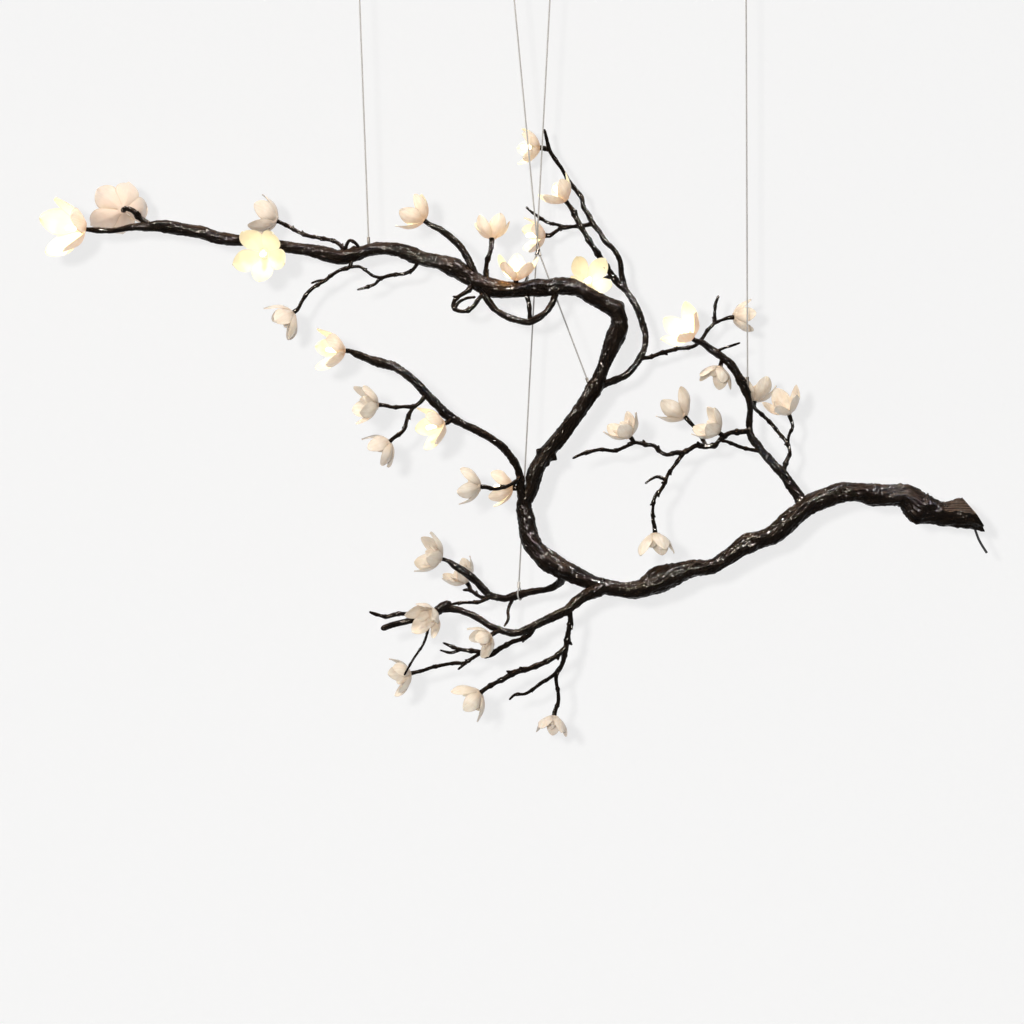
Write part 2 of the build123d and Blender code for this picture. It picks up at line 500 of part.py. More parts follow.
def ceiling_cup(x):
    """A cup with a tapped hole in its top face and a cavity for the collar."""
    body = Solid.make_cylinder(cup_dia / 2, cup_height, Plane(origin=(x, hang_y, -cup_height)))
    tapped = Solid.make_cylinder(cup_thread_dia / 2, cup_thread_depth, Plane(origin=(x, hang_y, -cup_thread_depth)))
    roof = ball_drop - ball_dia / 2 - ball_clearance
    cavity = Solid.make_cylinder(cup_dia / 2 - cup_wall, cup_height - roof, Plane(origin=(x, hang_y, -cup_height)))
    return biggest(body.cut(tapped, cavity))


def cup_collar(x):
    """The screw collar that carries the cable's ball, flared below so that the cable can swing."""
    flange = Solid.make_cylinder(cup_dia / 2, collar_flange, Plane(origin=(x, hang_y, -cup_height - collar_flange)))
    thread = Solid.make_cylinder(
        cup_dia / 2 - cup_wall - thread_clearance,
        cup_height - ball_drop,
        Plane(origin=(x, hang_y, -cup_height)),
    )
    seat = ball(Vector(x, hang_y, pivot_z), ball_dia + 2 * ball_clearance)
    throat = shank_dia / 2 + throat_clearance
    depth = cup_height + collar_flange - ball_drop
    flare = Solid.make_cone(throat + collar_flare, throat, depth, Plane(origin=(x, hang_y, pivot_z - depth)))
    return biggest(biggest(flange.fuse(thread)).cut(seat, flare))


def stud_line(limb, target, start):
    """Direction of a cable towards its limb, and where it meets the limb's surface."""
    along = (target - start).normalized()
    i = limb.nearest(target)
    slant = math.sqrt(1 - along.dot(limb.axes[i]) ** 2)
    return along, target - along * (limb.diameters[i] / 2 / slant)


os.makedirs("parts", exist_ok=True)
nodes = {}


def add(node, solid):
    nodes.setdefault(node, []).append(solid)


# Limbs and the way they are joined
trunk_points = trunk_route + stem_end(1)
limbs = {"trunk": Limb(trunk_points, sawn_face_normal, facing(blossoms[1][1]))}
for name, node, parents, flower, bore, route in limb_table:
    limbs[name] = make_limb(flower, route)

# Cables: start, limb and point that the foot is screwed into
tops = {key: Vector(x, hang_y, pivot_z) for key, x in ceiling_x.items()}
stud_feet = {
    "cable_a": (tops["a"], "trunk", Vector(-286, -3, -560)),
    "cable_d": (tops["d"], "right_bough", Vector(471, -4, -852)),
    "bridle_left": (bridle_point, "trunk", Vector(22, -55, -640)),
    "bridle_right": (bridle_point, "trunk", Vector(160, -17, -846)),
}
stud_holes = {}
for name, (start, limb, target) in stud_feet.items():
    along, entry = stud_line(limbs[limb], target, start)
    foot = entry + along * stud_depth
    head = entry - along * stud_out
    add("cable_studs", rod(head, foot, stud_dia))
    hole = rod(head - along * stud_out, foot, stud_dia + 2 * stud_clearance)
    stud_holes.setdefault(limb, []).append(hole)
    root = start + along * (shank_length if start is not bridle_point else joint_barrel_length)
    add(name, rod(root, head, cable_dia))

# Cable B ends at the bridle joint, cable C in a loop round the lower left bough.
b_axis = (bridle_point - tops["b"]).normalized()
add("cable_b", rod(tops["b"] + b_axis * shank_length, bridle_point - b_axis * joint_barrel_length, cable_dia))
joint_arms = [-b_axis]
joint_arms += [stud_line(limbs[l], t, s)[0] for s, l, t in stud_feet.values() if s is bridle_point]
joint = ball(bridle_point, joint_ball_dia)
for arm in joint_arms:
    joint = biggest(joint.fuse(rod(bridle_point, bridle_point + arm * joint_barrel_length, joint_barrel_dia)))
add("bridle_joint", joint)

loop_limb = limbs["lower_left_bough"]
loop_at = loop_limb.nearest(Vector(16, 50, -1250))
loop_centre = loop_limb.centres[loop_at]
loop_radius = loop_limb.diameters[loop_at] / 2 + loop_clearance + cable_dia / 2
c_axis = (loop_centre - tops["c"]).normalized()
c_side = c_axis - loop_limb.axes[loop_at] * c_axis.dot(loop_limb.axes[loop_at])
c_foot = loop_centre - c_side.normalized() * loop_radius
c_axis = (c_foot - tops["c"]).normalized()
loop = Solid.make_torus(
    loop_radius, cable_dia / 2, Plane(origin=loop_centre, z_dir=loop_limb.axes[loop_at])
)
cable_c = rod(tops["c"] + c_axis * shank_length, c_foot, cable_dia)
add("cable_c", biggest(cable_c.fuse(loop)))
ferrule_foot = c_foot - c_axis * (cable_dia / 2 + ferrule_gap)
ferrule_head = ferrule_foot - c_axis * ferrule_length
ferrule = rod(ferrule_head, ferrule_foot, ferrule_dia)
add("crimp_ferrule", biggest(ferrule.cut(rod(ferrule_head, ferrule_foot, cable_dia + 2 * thread_clearance))))

cable_axes = {"a": None, "b": b_axis, "c": c_axis, "d": None}
for key in ("a", "d"):
    start, limb, target = stud_feet["cable_" + key]
    cable_axes[key] = (target - start).normalized()
for key, x in ceiling_x.items():
    add("ceiling_cups", ceiling_cup(x))
    add("cup_collars", cup_collar(x))
    shank = rod(tops[key], tops[key] + cable_axes[key] * shank_length, shank_dia)
    add("ball_terminals", biggest(ball(tops[key], ball_dia).fuse(shank)))

# Wiring bores: each lit limb's bore starts on its parent's centre line.
bores = {}
looms = {}
for name, node, parents, flower, bore, route in limb_table:
    if bore:
        limb = limbs[name]
        last = wire_ends.get(name)
        bores[name] = limb.solid(0, last, bore)
        looms[name] = limb.solid(0, last, bore - 2 * wire_clearance)

# Branches, welded to their parents
for name, node, parents, flower, bore, route in limb_table:
    limb = limbs[name]
    body = limb.solid()
    tools = []
    for parent in parents:
        for end in (limb.centres[0], limb.centres[-1]):
            first, last = limbs[parent].beside(end, weld_reach)
            closest = limbs[parent].centres[limbs[parent].nearest(end)]
            if (closest - end).length < weld_reach:
                tools.append(limbs[parent].solid(first, last))
    body = biggest(body.cut(*tools))
    if flower:
        body = biggest(body.fuse(peg(flower)))
    drills = [bores[child] for child, _, welded, *_ in limb_table if child in bores and name in welded]
    drills += stud_holes.get(name, [])
    if bore:
        drills.append(bores[name])
        if flower:
            plane = flower_plane(flower)
            drills.append(rod(plane.origin, plane.origin + plane.z_dir * peg_length(flower), bore))
    if drills:
        body = biggest(body.cut(*drills))
    add(node, body)

# Trunk castings, butt welded end to end
trunk = limbs["trunk"]
route_x = [round(c.X) for c in trunk.centres]
bore_at = {}
gland_top = gland_mouth - gland_axis * gland_depth
entry_route = [(*gland_top, trunk_bore)] + [(x, y, z, trunk_bore) for x, y, z in wire_entry]
for node, start_x, end_x, bore in trunk_castings:
    first = route_x.index(start_x)
    last = len(trunk.centres) - 1 if end_x is None else route_x.index(end_x, first)
    bore_at.update({i: bore for i in range(first, last + 1)})
    body = trunk.solid(first, last)
    tools = [trunk.solid(first, last, bore)]
    wire = trunk.solid(first, last, bore - 2 * wire_clearance)
    if first == 0:
        inner = entry_route + [(*trunk.centres[i], bore) for i in range(1, last + 1)]
        duct = Limb(inner, -gland_axis, trunk.axes[last])
        tools = [duct.solid()]
        wire = duct.solid(diameter=bore - 2 * wire_clearance)
        outside = gland_mouth + gland_axis * 3 * gland_out
        tools.append(rod(gland_top, outside, gland_dia + 2 * gland_clearance))
    if end_x is None:
        plane = flower_plane(1)
        body = biggest(body.fuse(peg(1)))
        tools.append(rod(plane.origin, plane.origin + plane.z_dir * peg_length(1), stem_bore))
    for name, _, parents, *_ in limb_table:
        if name in bores and "trunk" in parents:
            i = trunk.nearest(limbs[name].centres[0])
            if first - 1 <= i <= last + 1:
                tools.append(bores[name])
    tools += stud_holes["trunk"]
    add(node, biggest(body.cut(*tools)))
    add("wiring_loom", wire)

# The loom of each lit limb, from its parent's loom to its lamp
for name, node, parents, flower, bore, route in limb_table:
    if not bore:
        continue
    wire = looms[name]
    if parents == ["trunk"]:
        first, last = trunk.beside(limbs[name].centres[0], weld_reach)
        bore_there = bore_at[trunk.nearest(limbs[name].centres[0])]
        wire = biggest(wire.cut(trunk.solid(first, last, bore_there - 2 * wire_clearance)))
    else:
        wire = biggest(wire.cut(looms[parents[0]]))
    if flower:
        plane = flower_plane(flower)
        wire_top = plane.origin + plane.z_dir * (hub_thickness + holder_floor)
        wire = biggest(wire.fuse(rod(plane.origin, wire_top, bore - 2 * wire_clearance)))
    add("wiring_loom", wire)
tip_plane = flower_plane(1)
tip_wire_top = tip_plane.origin + tip_plane.z_dir * (hub_thickness + holder_floor)
add("wiring_loom", rod(tip_plane.origin, tip_wire_top, stem_bore - 2 * wire_clearance))

# Blossoms and lamps
spray_of = {number: spray for spray, numbers in blossom_sprays.items() for number in numbers}
for number, (base, axis, petal, turn, lit) in blossoms.items():
    place = flower_plane(number).location
    node = spray_of.get(number, f"blossom_{number:02d}")
    add(node, porcelain_blossom(petal).moved(place))
    if lit:
        add("lamp_holders", lamp_holder().moved(place))
        add("led_lamps", led_lamp().moved(place))

# Supply cord and its gland
gland = rod(gland_top, gland_mouth + gland_axis * gland_out, gland_dia)
gland_hole = rod(gland_top, gland_mouth + gland_axis * 2 * gland_out, cord_dia + 2 * cord_clearance)
add("cord_gland", biggest(gland.cut(gland_hole)))
cord_points = [gland_top, gland_top + gland_axis * cord_run_out] + [Vector(*p) for p in cord_tail]
radii = []
for a, b, c in zip(cord_points, cord_points[1:], cord_points[2:]):
    turn = math.radians((b - a).get_angle(c - b))
    radii.append(cord_bend_share * min((b - a).length, (c - b).length) / math.tan(turn / 2))
print("supply cord bend radii", [round(r, 1) for r in radii])
cord_line = FilletPolyline(*cord_points, radius=radii)
cord_section = Wire.make_circle(cord_dia / 2, Plane(origin=gland_top, z_dir=cord_points[1] - cord_points[0]))
cord = Solid.sweep(Face(cord_section), cord_line)
print("supply cord volume over section times length",
      round(cord.volume / (math.pi * cord_dia ** 2 / 4 * cord_line.length), 4))
add("supply_cord", cord)

# The origin goes to the top of cup B.
to_origin = Location((0, -hang_y, 0))
for node, solids in nodes.items():
    shape = solids[0] if len(solids) == 1 else Compound(solids)
    export_step(shape.moved(to_origin), f"parts/{node}.step")
print(len(nodes), "nodes,", sum(len(s) for s in nodes.values()), "solids")
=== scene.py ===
import bpy
import math
import numpy as np
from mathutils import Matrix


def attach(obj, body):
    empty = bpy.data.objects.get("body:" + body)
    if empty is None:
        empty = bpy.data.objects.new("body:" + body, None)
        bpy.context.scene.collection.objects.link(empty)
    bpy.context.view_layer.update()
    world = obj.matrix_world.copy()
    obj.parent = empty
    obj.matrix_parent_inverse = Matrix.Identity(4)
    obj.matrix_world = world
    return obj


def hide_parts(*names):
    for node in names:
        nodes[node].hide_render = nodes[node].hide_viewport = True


# Branch chandelier: bark, petals and cables are worked out here in millimetres and put into metres.
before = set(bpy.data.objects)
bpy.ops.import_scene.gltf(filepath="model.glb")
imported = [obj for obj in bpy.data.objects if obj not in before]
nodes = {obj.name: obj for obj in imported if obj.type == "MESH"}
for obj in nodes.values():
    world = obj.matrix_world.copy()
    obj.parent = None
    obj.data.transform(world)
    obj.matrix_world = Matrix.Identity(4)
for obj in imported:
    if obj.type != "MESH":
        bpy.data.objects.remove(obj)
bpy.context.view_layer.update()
scene = bpy.context.scene
scene.view_settings.view_transform = "Standard"
mm = 0.001
hangDepth = 21.0    # the routes' zero depth lies this far behind the ceiling cups
hang = np.array((0, hangDepth, 0))
print("frame loaded:", len(nodes), "nodes")

# Camera: level, looking along +Y, 2 mm to a pixel of a 1024 frame at the routes' zero depth
cameraSetup = {"height": -1.084, "distance": 10.0, "frameWidth": 2.048, "sensor": 36.0}
cameraData = bpy.data.cameras.new("camera")
cameraData.sensor_width = cameraSetup["sensor"]
cameraData.lens = cameraSetup["sensor"] * cameraSetup["distance"] / cameraSetup["frameWidth"]
cameraData.clip_end = 100
camera = bpy.data.objects.new("camera", cameraData)
camera.location = (0, hangDepth * mm - cameraSetup["distance"], cameraSetup["height"])
camera.rotation_euler = (math.pi / 2, 0, 0)
scene.collection.objects.link(camera)
scene.camera = camera

# Cables and the supply lead: control points in millimetres, straight runs kept taut
cableSetup = {
    "cable_a": [(-305.4, 0.5, -31), (-296.2, 8.8, -282.7), (-286.9, 17.2, -534.4)],
    "cable_b": [(1.5, 0.6, -30.9), (26.1, 9.6, -289), (50.8, 18.6, -547.1)],
    "cable_c": [(77.2, 0.9, -31), (44.9, 36.2, -640), (14.1, 70.4, -1224.6), (13.4, 71.1, -1236.6),
                (11.6, 64.4, -1244), (11.2, 60.6, -1250), (13.2, 62.2, -1258), (16.2, 69.4, -1261),
                (19.0, 77.4, -1259), (20.6, 81.4, -1251), (19.0, 78.6, -1243), (15.4, 72.6, -1236.6)],
    "cable_d": [(467.1, 0.3, -31), (469, 8.3, -422.4), (470.8, 16.2, -813.9)],
    "bridle_left": [(48.1, 12.2, -570.3), (39.5, -3.1, -593.4), (30.9, -18.4, -616.4)],
    "bridle_right": [(56.6, 18.4, -572.2), (102.7, 12, -694.2), (148.8, 5.6, -816.3)],
    "supply_cord": [(923, 41, -1103.5), (930.8, 41, -1128.2), (939, 43, -1147), (952, 45, -1166)],
}
steelLook = {"diameter": 3.0, "slot": "cable_steel", "end": "object", "stiffness": "stiff", "lay": "taut"}
leadLook = {"diameter": 5.0, "slot": "cord_rubber", "end": "bare", "stiffness": "medium", "lay": "hanging"}
cables = {}


def splineCurve(name, points, diameter):    # one open NURBS line through its control points, round section
    curve = bpy.data.curves.new(name, "CURVE")
    curve.dimensions = "3D"
    line = curve.splines.new("NURBS")
    line.points.add(len(points) - 1)
    for target, point in zip(line.points, points):
        target.co = (*[v * mm for v in point], 1)
        target.radius = diameter / 2 * mm    # the bevel is one unit, so a point's radius is the cable's own
    line.order_u = 3
    line.use_endpoint_u = True
    line.resolution_u = 8
    curve.bevel_depth = 1.0
    curve.bevel_resolution = 4
    curve.use_fill_caps = True
    piece = bpy.data.objects.new(name, curve)
    scene.collection.objects.link(piece)
    return piece


def lineLength(piece):    # length of the bare line, read from the spline itself
    bare = piece.data.copy()
    bare.bevel_depth = 0
    holder = bpy.data.objects.new("bareLine", bare)
    mesh = bpy.data.meshes.new_from_object(holder)
    run = np.empty(len(mesh.vertices) * 3)
    mesh.vertices.foreach_get("co", run)
    bpy.data.objects.remove(holder)
    return float(np.linalg.norm(np.diff(run.reshape(-1, 3), axis=0), axis=1).sum())


for name, points in cableSetup.items():
    look = leadLook if name == "supply_cord" else steelLook
    piece = splineCurve(name + "_line", points, look["diameter"])
    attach(piece, "chandelier")
    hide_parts(name)
    lineLength(piece)
    cables[name] = piece
print("cables laid:", len(cables))

# Routes of the branch: x, y, z and diameter in millimetres
# A limb has its node, its blossom (0 for none) and its route
trunkRoute = [
    (924, 20, -1086, 66), (856, 14, -1086, 48), (816, 8, -1076, 58), (786, 4, -1052, 42),
    (756, 0, -1050, 38), (726, -4, -1050, 42), (696, -8, -1046, 38), (656, -12, -1046, 38),
    (626, -16, -1056, 38), (600, -19, -1066, 36), (564, -23, -1092, 38), (522, -28, -1128, 34),
    (462, -33, -1150, 36), (420, -37, -1182, 32), (396, -40, -1192, 30), (354, -43, -1198, 38),
    (288, -48, -1222, 44), (252, -50, -1238, 36), (176, -47, -1230, 30), (136, -44, -1214, 30),
    (100, -40, -1198, 36), (66, -34, -1176, 38), (36, -26, -1140, 34), (28, -20, -1100, 32),
    (24, -17, -1070, 30), (38, -14, -1040, 26), (48, -12, -1000, 30), (68, -10, -968, 30),
    (102, -12, -928, 30), (124, -14, -896, 29), (148, -16, -862, 29), (168, -18, -830, 30),
    (176, -20, -810, 26), (190, -23, -774, 28), (202, -26, -744, 35), (214, -30, -710, 34),
    (208, -32, -686, 33), (184, -34, -668, 32), (158, -37, -654, 32), (126, -40, -637, 32),
    (96, -44, -634, 34), (66, -48, -638, 32), (36, -53, -638, 32), (6, -57, -642, 32),
    (-24, -60, -642, 34), (-54, -56, -632, 35), (-84, -50, -616, 34), (-114, -45, -598, 33),
    (-144, -40, -586, 30), (-174, -31, -580, 31), (-204, -22, -568, 30), (-224, -16, -560, 28),
    (-254, -8, -558, 26), (-284, -3, -560, 27), (-324, 2, -572, 25), (-344, 4, -574, 28),
    (-364, 6, -570, 27), (-404, 10, -560, 24), (-434, 9, -556, 22), (-524, 5, -540, 22),
    (-554, 4, -540, 21), (-584, 2, -536, 25), (-624, 0, -524, 24), (-664, -3, -518, 24),
    (-704, -7, -512, 23), (-734, -11, -514, 18), (-764, -16, -516, 14), (-794, -21, -522, 12),
    (-824, -26, -522, 12)
]
limbTable = {
    "left_bough": ("left_bough", 6, [
        (24, -20, -1078, 17), (18, -25, -1040, 16), (16, -28, -1014, 15), (8, -32, -990, 14),
        (-8, -36, -968, 14), (-24, -41, -950, 14), (-44, -46, -936, 14), (-74, -53, -920, 14),
        (-104, -60, -906, 15), (-130, -64, -890, 19), (-148, -67, -872, 17), (-168, -70, -852, 16),
        (-188, -73, -830, 16), (-214, -76, -808, 16), (-238, -78, -794, 17), (-254, -79, -790, 18),
        (-280, -80, -782, 15), (-306, -80, -772, 14)]),
    "left_fork": ("left_twigs", 7, [
        (-170, -70, -850, 9), (-182, -76, -866, 8), (-194, -80, -874, 8), (-214, -84, -875, 7),
        (-238, -87, -876, 7)]),
    "left_drop": ("left_twigs", 8, [
        (-194, -80, -874, 6), (-202, -82, -886, 7), (-208, -84, -900, 7), (-214, -86, -920, 7)]),
    "inner_twig": ("left_twigs", 10, [
        (15, -29, -1013, 7), (8, -50, -1023, 7), (-6, -64, -1031, 7), (-22, -69, -1036, 7),
        (-38, -70, -1038, 7)]),
    "stem_9": ("left_twigs", 9, [(-119, -62, -898, 9)]),
    "stem_11": ("left_twigs", 11, [(19, -24, -1038, 9)]),
    "upper_bough": ("upper_bough", 0, [
        (168, -18, -832, 16), (184, -9, -828, 14), (206, 2, -820, 14), (228, 12, -810, 13),
        (244, 20, -794, 13), (256, 28, -776, 13), (266, 34, -754, 12), (268, 38, -734, 12),
        (262, 44, -704, 12), (252, 48, -676, 12), (240, 52, -654, 12), (228, 55, -636, 12),
        (221, 58, -610, 11), (216, 59, -576, 10), (203, 60, -554, 10), (188, 60, -540, 10),
        (176, 66, -520, 10), (162, 74, -502, 11), (155, 83, -486, 10), (145, 92, -470, 9),
        (140, 101, -448, 9), (128, 107, -432, 9), (114, 110, -414, 9), (102, 110, -392, 8),
        (88, 108, -372, 8), (76, 106, -352, 8), (70, 104, -330, 7), (65, 103, -310, 6)]),
    "upper_fork": ("upper_twigs", 17, [
        (230, 55, -638, 10), (214, 55, -626, 11), (200, 54, -606, 11), (188, 52, -588, 11),
        (172, 50, -564, 11), (156, 49, -540, 10), (142, 50, -516, 10), (130, 55, -494, 10),
        (121, 61, -476, 10)]),
    "stem_16": ("upper_twigs", 16, [(77, 106, -352, 7)]),
    "cross_twig": ("upper_twigs", 14, [
        (163, 74, -503, 8), (146, 84, -506, 8), (126, 88, -508, 7), (102, 88, -510, 7),
        (86, 87, -520, 7)]),
    "cross_prong": ("upper_twigs", 0, [
        (106, 88, -509, 6), (90, 87, -504, 6), (72, 86, -500, 6), (56, 85, -490, 6), (36, 84, -476, 5),
        (28, 84, -468, 4)]),
    "stem_18": ("upper_twigs", 18, [
        (201, 54, -607, 8), (190, 74, -614, 9), (174, 94, -621, 9), (156, 95, -626, 9)]),
    "right_link": ("upper_twigs", 0, [
        (256, 28, -776, 9), (274, 37, -774, 8), (296, 44, -766, 8), (316, 50, -760, 8),
        (332, 54, -756, 7), (352, 58, -754, 7), (366, 60, -750, 7), (382, 60, -736, 7),
        (392, 60, -720, 7), (406, 60, -704, 7), (408, 60, -680, 6), (410, 60, -664, 6),
        (416, 60, -648, 4)]),
    "stem_20": ("upper_twigs", 20, [(405, 60, -705, 6), (422, 60, -698, 6)]),
    "right_bough": ("right_bough", 19, [
        (584, -21, -1080, 24), (572, -16, -1052, 20), (556, -13, -1030, 19), (542, -11, -1008, 18),
        (528, -10, -994, 17), (508, -8, -972, 16), (490, -7, -950, 15), (478, -6, -934, 14),
        (474, -5, -910, 13), (476, -4, -880, 12), (472, -4, -854, 13), (464, -4, -834, 18),
        (452, -5, -812, 16), (436, -6, -788, 15), (416, -8, -772, 15), (400, -10, -760, 14),
        (380, -11, -746, 12)]),
    "right_prong": ("right_twigs", 0, [
        (406, -9, -765, 6), (420, -13, -758, 5), (438, -15, -752, 5), (456, -16, -746, 4)]),
    "stem_21": ("right_twigs", 21, [(422, -7, -776, 7)]),
    "right_spray": ("right_twigs", 0, [
        (475, -5, -922, 9), (456, -16, -924, 10), (436, -26, -926, 9), (424, -32, -932, 9),
        (414, -37, -940, 9), (406, -41, -950, 10), (386, -47, -954, 10), (366, -52, -952, 9),
        (352, -55, -960, 9), (340, -57, -966, 9), (326, -59, -966, 9), (306, -61, -970, 8),
        (292, -62, -962, 8), (282, -62, -952, 8), (266, -62, -950, 8), (242, -62, -946, 8),
        (226, -62, -954, 7), (206, -62, -962, 7), (176, -62, -960, 7), (156, -62, -964, 7),
        (136, -62, -970, 6), (120, -62, -978, 4)]),
    "right_brace": ("right_twigs", 0, [
        (499, -7, -962, 8), (474, -16, -959, 7), (452, -25, -953, 7), (432, -33, -945, 7),
        (414, -37, -941, 6)]),
    "stem_26": ("right_twigs", 26, [(243, -62, -946, 6)]),
    "right_drop": ("right_twigs", 27, [
        (342, -57, -965, 7), (324, -62, -990, 7), (310, -64, -1010, 7), (304, -65, -1024, 7),
        (296, -66, -1040, 7), (284, -66, -1054, 7), (280, -66, -1076, 6), (280, -66, -1098, 7)]),
    "right_stub": ("right_twigs", 0, [
        (305, -65, -1020, 6), (288, -66, -1014, 6), (278, -66, -1018, 5), (264, -66, -1028, 4)]),
    "stem_22": ("right_twigs", 22, [
        (386, -47, -953, 7), (383, -28, -944, 7), (376, -10, -932, 7), (364, -4, -914, 7)]),
    "stem_23": ("right_twigs", 23, [(424, -34, -935, 7)]),
    "back_twig": ("right_twigs", 24, [
        (541, -11, -1006, 8), (550, 2, -980, 8), (556, 8, -968, 7), (552, 15, -948, 7),
        (536, 27, -926, 7), (520, 39, -906, 7), (502, 49, -888, 7)]),
    "stem_25": ("right_twigs", 25, [
        (552, 15, -950, 6), (555, 17, -930, 6), (562, 19, -914, 6)]),
    "crest_stem": ("arch_twigs", 12, [
        (-72, -52, -622, 15), (-86, -52, -584, 14), (-100, -50, -560, 13), (-124, -48, -536, 13),
        (-150, -46, -518, 12)]),
    "arch_stem": ("arch_twigs", 13, [
        (-48, -57, -634, 10), (-52, -62, -604, 9), (-49, -65, -584, 9), (-43, -66, -566, 9)]),
    "stem_15": ("arch_twigs", 15, [(8, -57, -641, 10)]),
    "arch_loop": ("arch_twigs", 0, [
        (-66, -54, -628, 13), (-50, -63, -660, 13), (-33, -65, -682, 13), (-10, -66, -696, 13),
        (16, -65, -704, 13), (33, -64, -706, 13), (49, -62, -700, 13), (67, -59, -687, 12),
        (79, -55, -670, 12), (90, -46, -638, 12)]),
    "loop_tie": ("arch_twigs", 0, [
        (26, -54, -640, 9), (34, -61, -674, 9), (36, -63, -705, 9)]),
    "crest_curl": ("arch_twigs", 0, [
        (-80, -52, -619, 9), (-84, -60, -640, 9), (-100, -65, -652, 8), (-114, -68, -664, 8),
        (-117, -70, -677, 8), (-104, -71, -685, 8), (-88, -71, -684, 8), (-77, -70, -676, 8),
        (-67, -68, -662, 8), (-56, -62, -650, 8)]),
    "crest_twig": ("arch_twigs", 0, [
        (-182, -29, -578, 8), (-200, -24, -602, 7), (-214, -20, -608, 7), (-234, -15, -610, 7),
        (-254, -11, -614, 7), (-265, -10, -619, 7), (-273, -9, -628, 6), (-288, -8, -634, 6),
        (-310, -7, -640, 4)]),
    "long_twig": ("reach_twigs", 3, [
        (-330, 3, -573, 8), (-343, 2, -551, 7), (-354, 2, -543, 7), (-374, 4, -538, 7),
        (-394, 6, -534, 7), (-418, 8, -528, 7), (-434, 9, -520, 7), (-448, 10, -512, 7)]),
    "hanging_twig": ("reach_twigs", 5, [
        (-320, 2, -571, 8), (-325, -4, -594, 7), (-344, -7, -601, 7), (-360, -9, -610, 7),
        (-374, -11, -622, 7), (-394, -13, -634, 7), (-408, -14, -646, 7), (-420, -15, -664, 7)]),
    "hanging_stub": ("reach_twigs", 0, [
        (-372, -11, -621, 5), (-386, -9, -622, 5), (-402, -8, -627, 4)]),
    "twig_link": ("reach_twigs", 0, [
        (-326, -4, -594, 6), (-304, -5, -594, 6), (-290, -7, -603, 6), (-276, -9, -613, 6),
        (-260, -10, -616, 6)]),
    "stem_4": ("reach_twigs", 4, [(-492, 6, -546, 10)]),
    "tip_stem": ("reach_twigs", 2, [
        (-722, -9, -513, 10), (-744, -13, -496, 10), (-758, -16, -482, 10), (-771, -17, -478, 9)]),
    "lower_left_bough": ("lower_left_bough", 28, [
        (108, -38, -1202, 16), (96, -8, -1224, 14), (82, 10, -1234, 13), (66, 24, -1240, 12),
        (46, 38, -1243, 13), (30, 45, -1246, 14), (16, 50, -1250, 17), (2, 53, -1254, 15),
        (-14, 57, -1258, 13), (-30, 60, -1256, 12), (-44, 62, -1252, 13), (-58, 64, -1238, 14),
        (-74, 66, -1222, 15), (-94, 68, -1206, 15), (-114, 69, -1193, 13)]),
    "lower_back_twig": ("lower_twigs", 0, [
        (-42, 62, -1253, 8), (-56, 80, -1258, 8), (-72, 101, -1251, 7), (-86, 117, -1242, 7),
        (-100, 122, -1242, 5)]),
    "stem_29": ("lower_twigs", 29, [(-82, 113, -1245, 6)]),
    "lower_left_prong": ("lower_twigs", 0, [
        (-40, 61, -1254, 7), (-66, 57, -1265, 7), (-94, 54, -1266, 6), (-114, 52, -1268, 6),
        (-130, 50, -1272, 4)]),
    "lower_cross_twig": ("lower_twigs", 0, [
        (3, 53, -1255, 7), (-8, 44, -1282, 6), (-8, 32, -1300, 6), (-16, 22, -1314, 4)]),
    "lower_bough": ("lower_bough", 0, [
        (184, -47, -1230, 24), (170, -58, -1240, 22), (146, -63, -1250, 20), (126, -66, -1264, 19),
        (110, -69, -1278, 18), (86, -73, -1290, 17), (56, -77, -1304, 16), (32, -80, -1316, 15),
        (6, -83, -1324, 14), (-18, -85, -1320, 13), (-44, -87, -1310, 13), (-68, -88, -1294, 12),
        (-94, -89, -1282, 12), (-120, -90, -1276, 13), (-140, -90, -1276, 18), (-154, -90, -1284, 15),
        (-184, -90, -1294, 13), (-214, -89, -1302, 12), (-244, -88, -1310, 12), (-260, -88, -1316, 12)]),
    "lower_prong": ("lower_twigs", 0, [
        (-148, -88, -1280, 9), (-172, -77, -1284, 8), (-200, -73, -1286, 8), (-220, -72, -1286, 8),
        (-234, -71, -1288, 8), (-248, -70, -1292, 8), (-268, -69, -1288, 7), (-284, -69, -1282, 5)]),
    "stem_30": ("lower_twigs", 30, [(-144, -91, -1276, 8)]),
    "stem_31": ("lower_twigs", 31, [(-24, -86, -1318, 7)]),
    "lower_whip": ("lower_twigs", 0, [
        (-162, -90, -1287, 6), (-166, -84, -1316, 5), (-178, -83, -1350, 5), (-192, -83, -1370, 5),
        (-214, -84, -1408, 4)]),
    "lower_spray": ("lower_twigs", 0, [
        (46, -78, -1308, 10), (34, -70, -1328, 9), (20, -66, -1336, 9), (0, -63, -1342, 9),
        (-18, -60, -1352, 9), (-34, -57, -1360, 8), (-54, -54, -1362, 8), (-84, -51, -1360, 8),
        (-108, -49, -1356, 7), (-124, -48, -1350, 6), (-138, -47, -1344, 4)]),
    "spray_prong": ("lower_twigs", 0, [
        (-102, -49, -1357, 6), (-120, -45, -1364, 6), (-144, -43, -1359, 4)]),
    "spray_stub": ("lower_twigs", 0, [
        (-22, -59, -1354, 7), (-40, -62, -1369, 6), (-56, -64, -1374, 4)]),
    "spray_drop": ("lower_twigs", 32, [
        (-58, -53, -1362, 7), (-80, -48, -1376, 7), (-93, -45, -1384, 7), (-114, -42, -1385, 7),
        (-134, -40, -1388, 7), (-160, -37, -1394, 7), (-178, -34, -1400, 7)]),
    "drop_stub": ("lower_twigs", 0, [(-92, -45, -1384, 6), (-108, -49, -1398, 4)]),
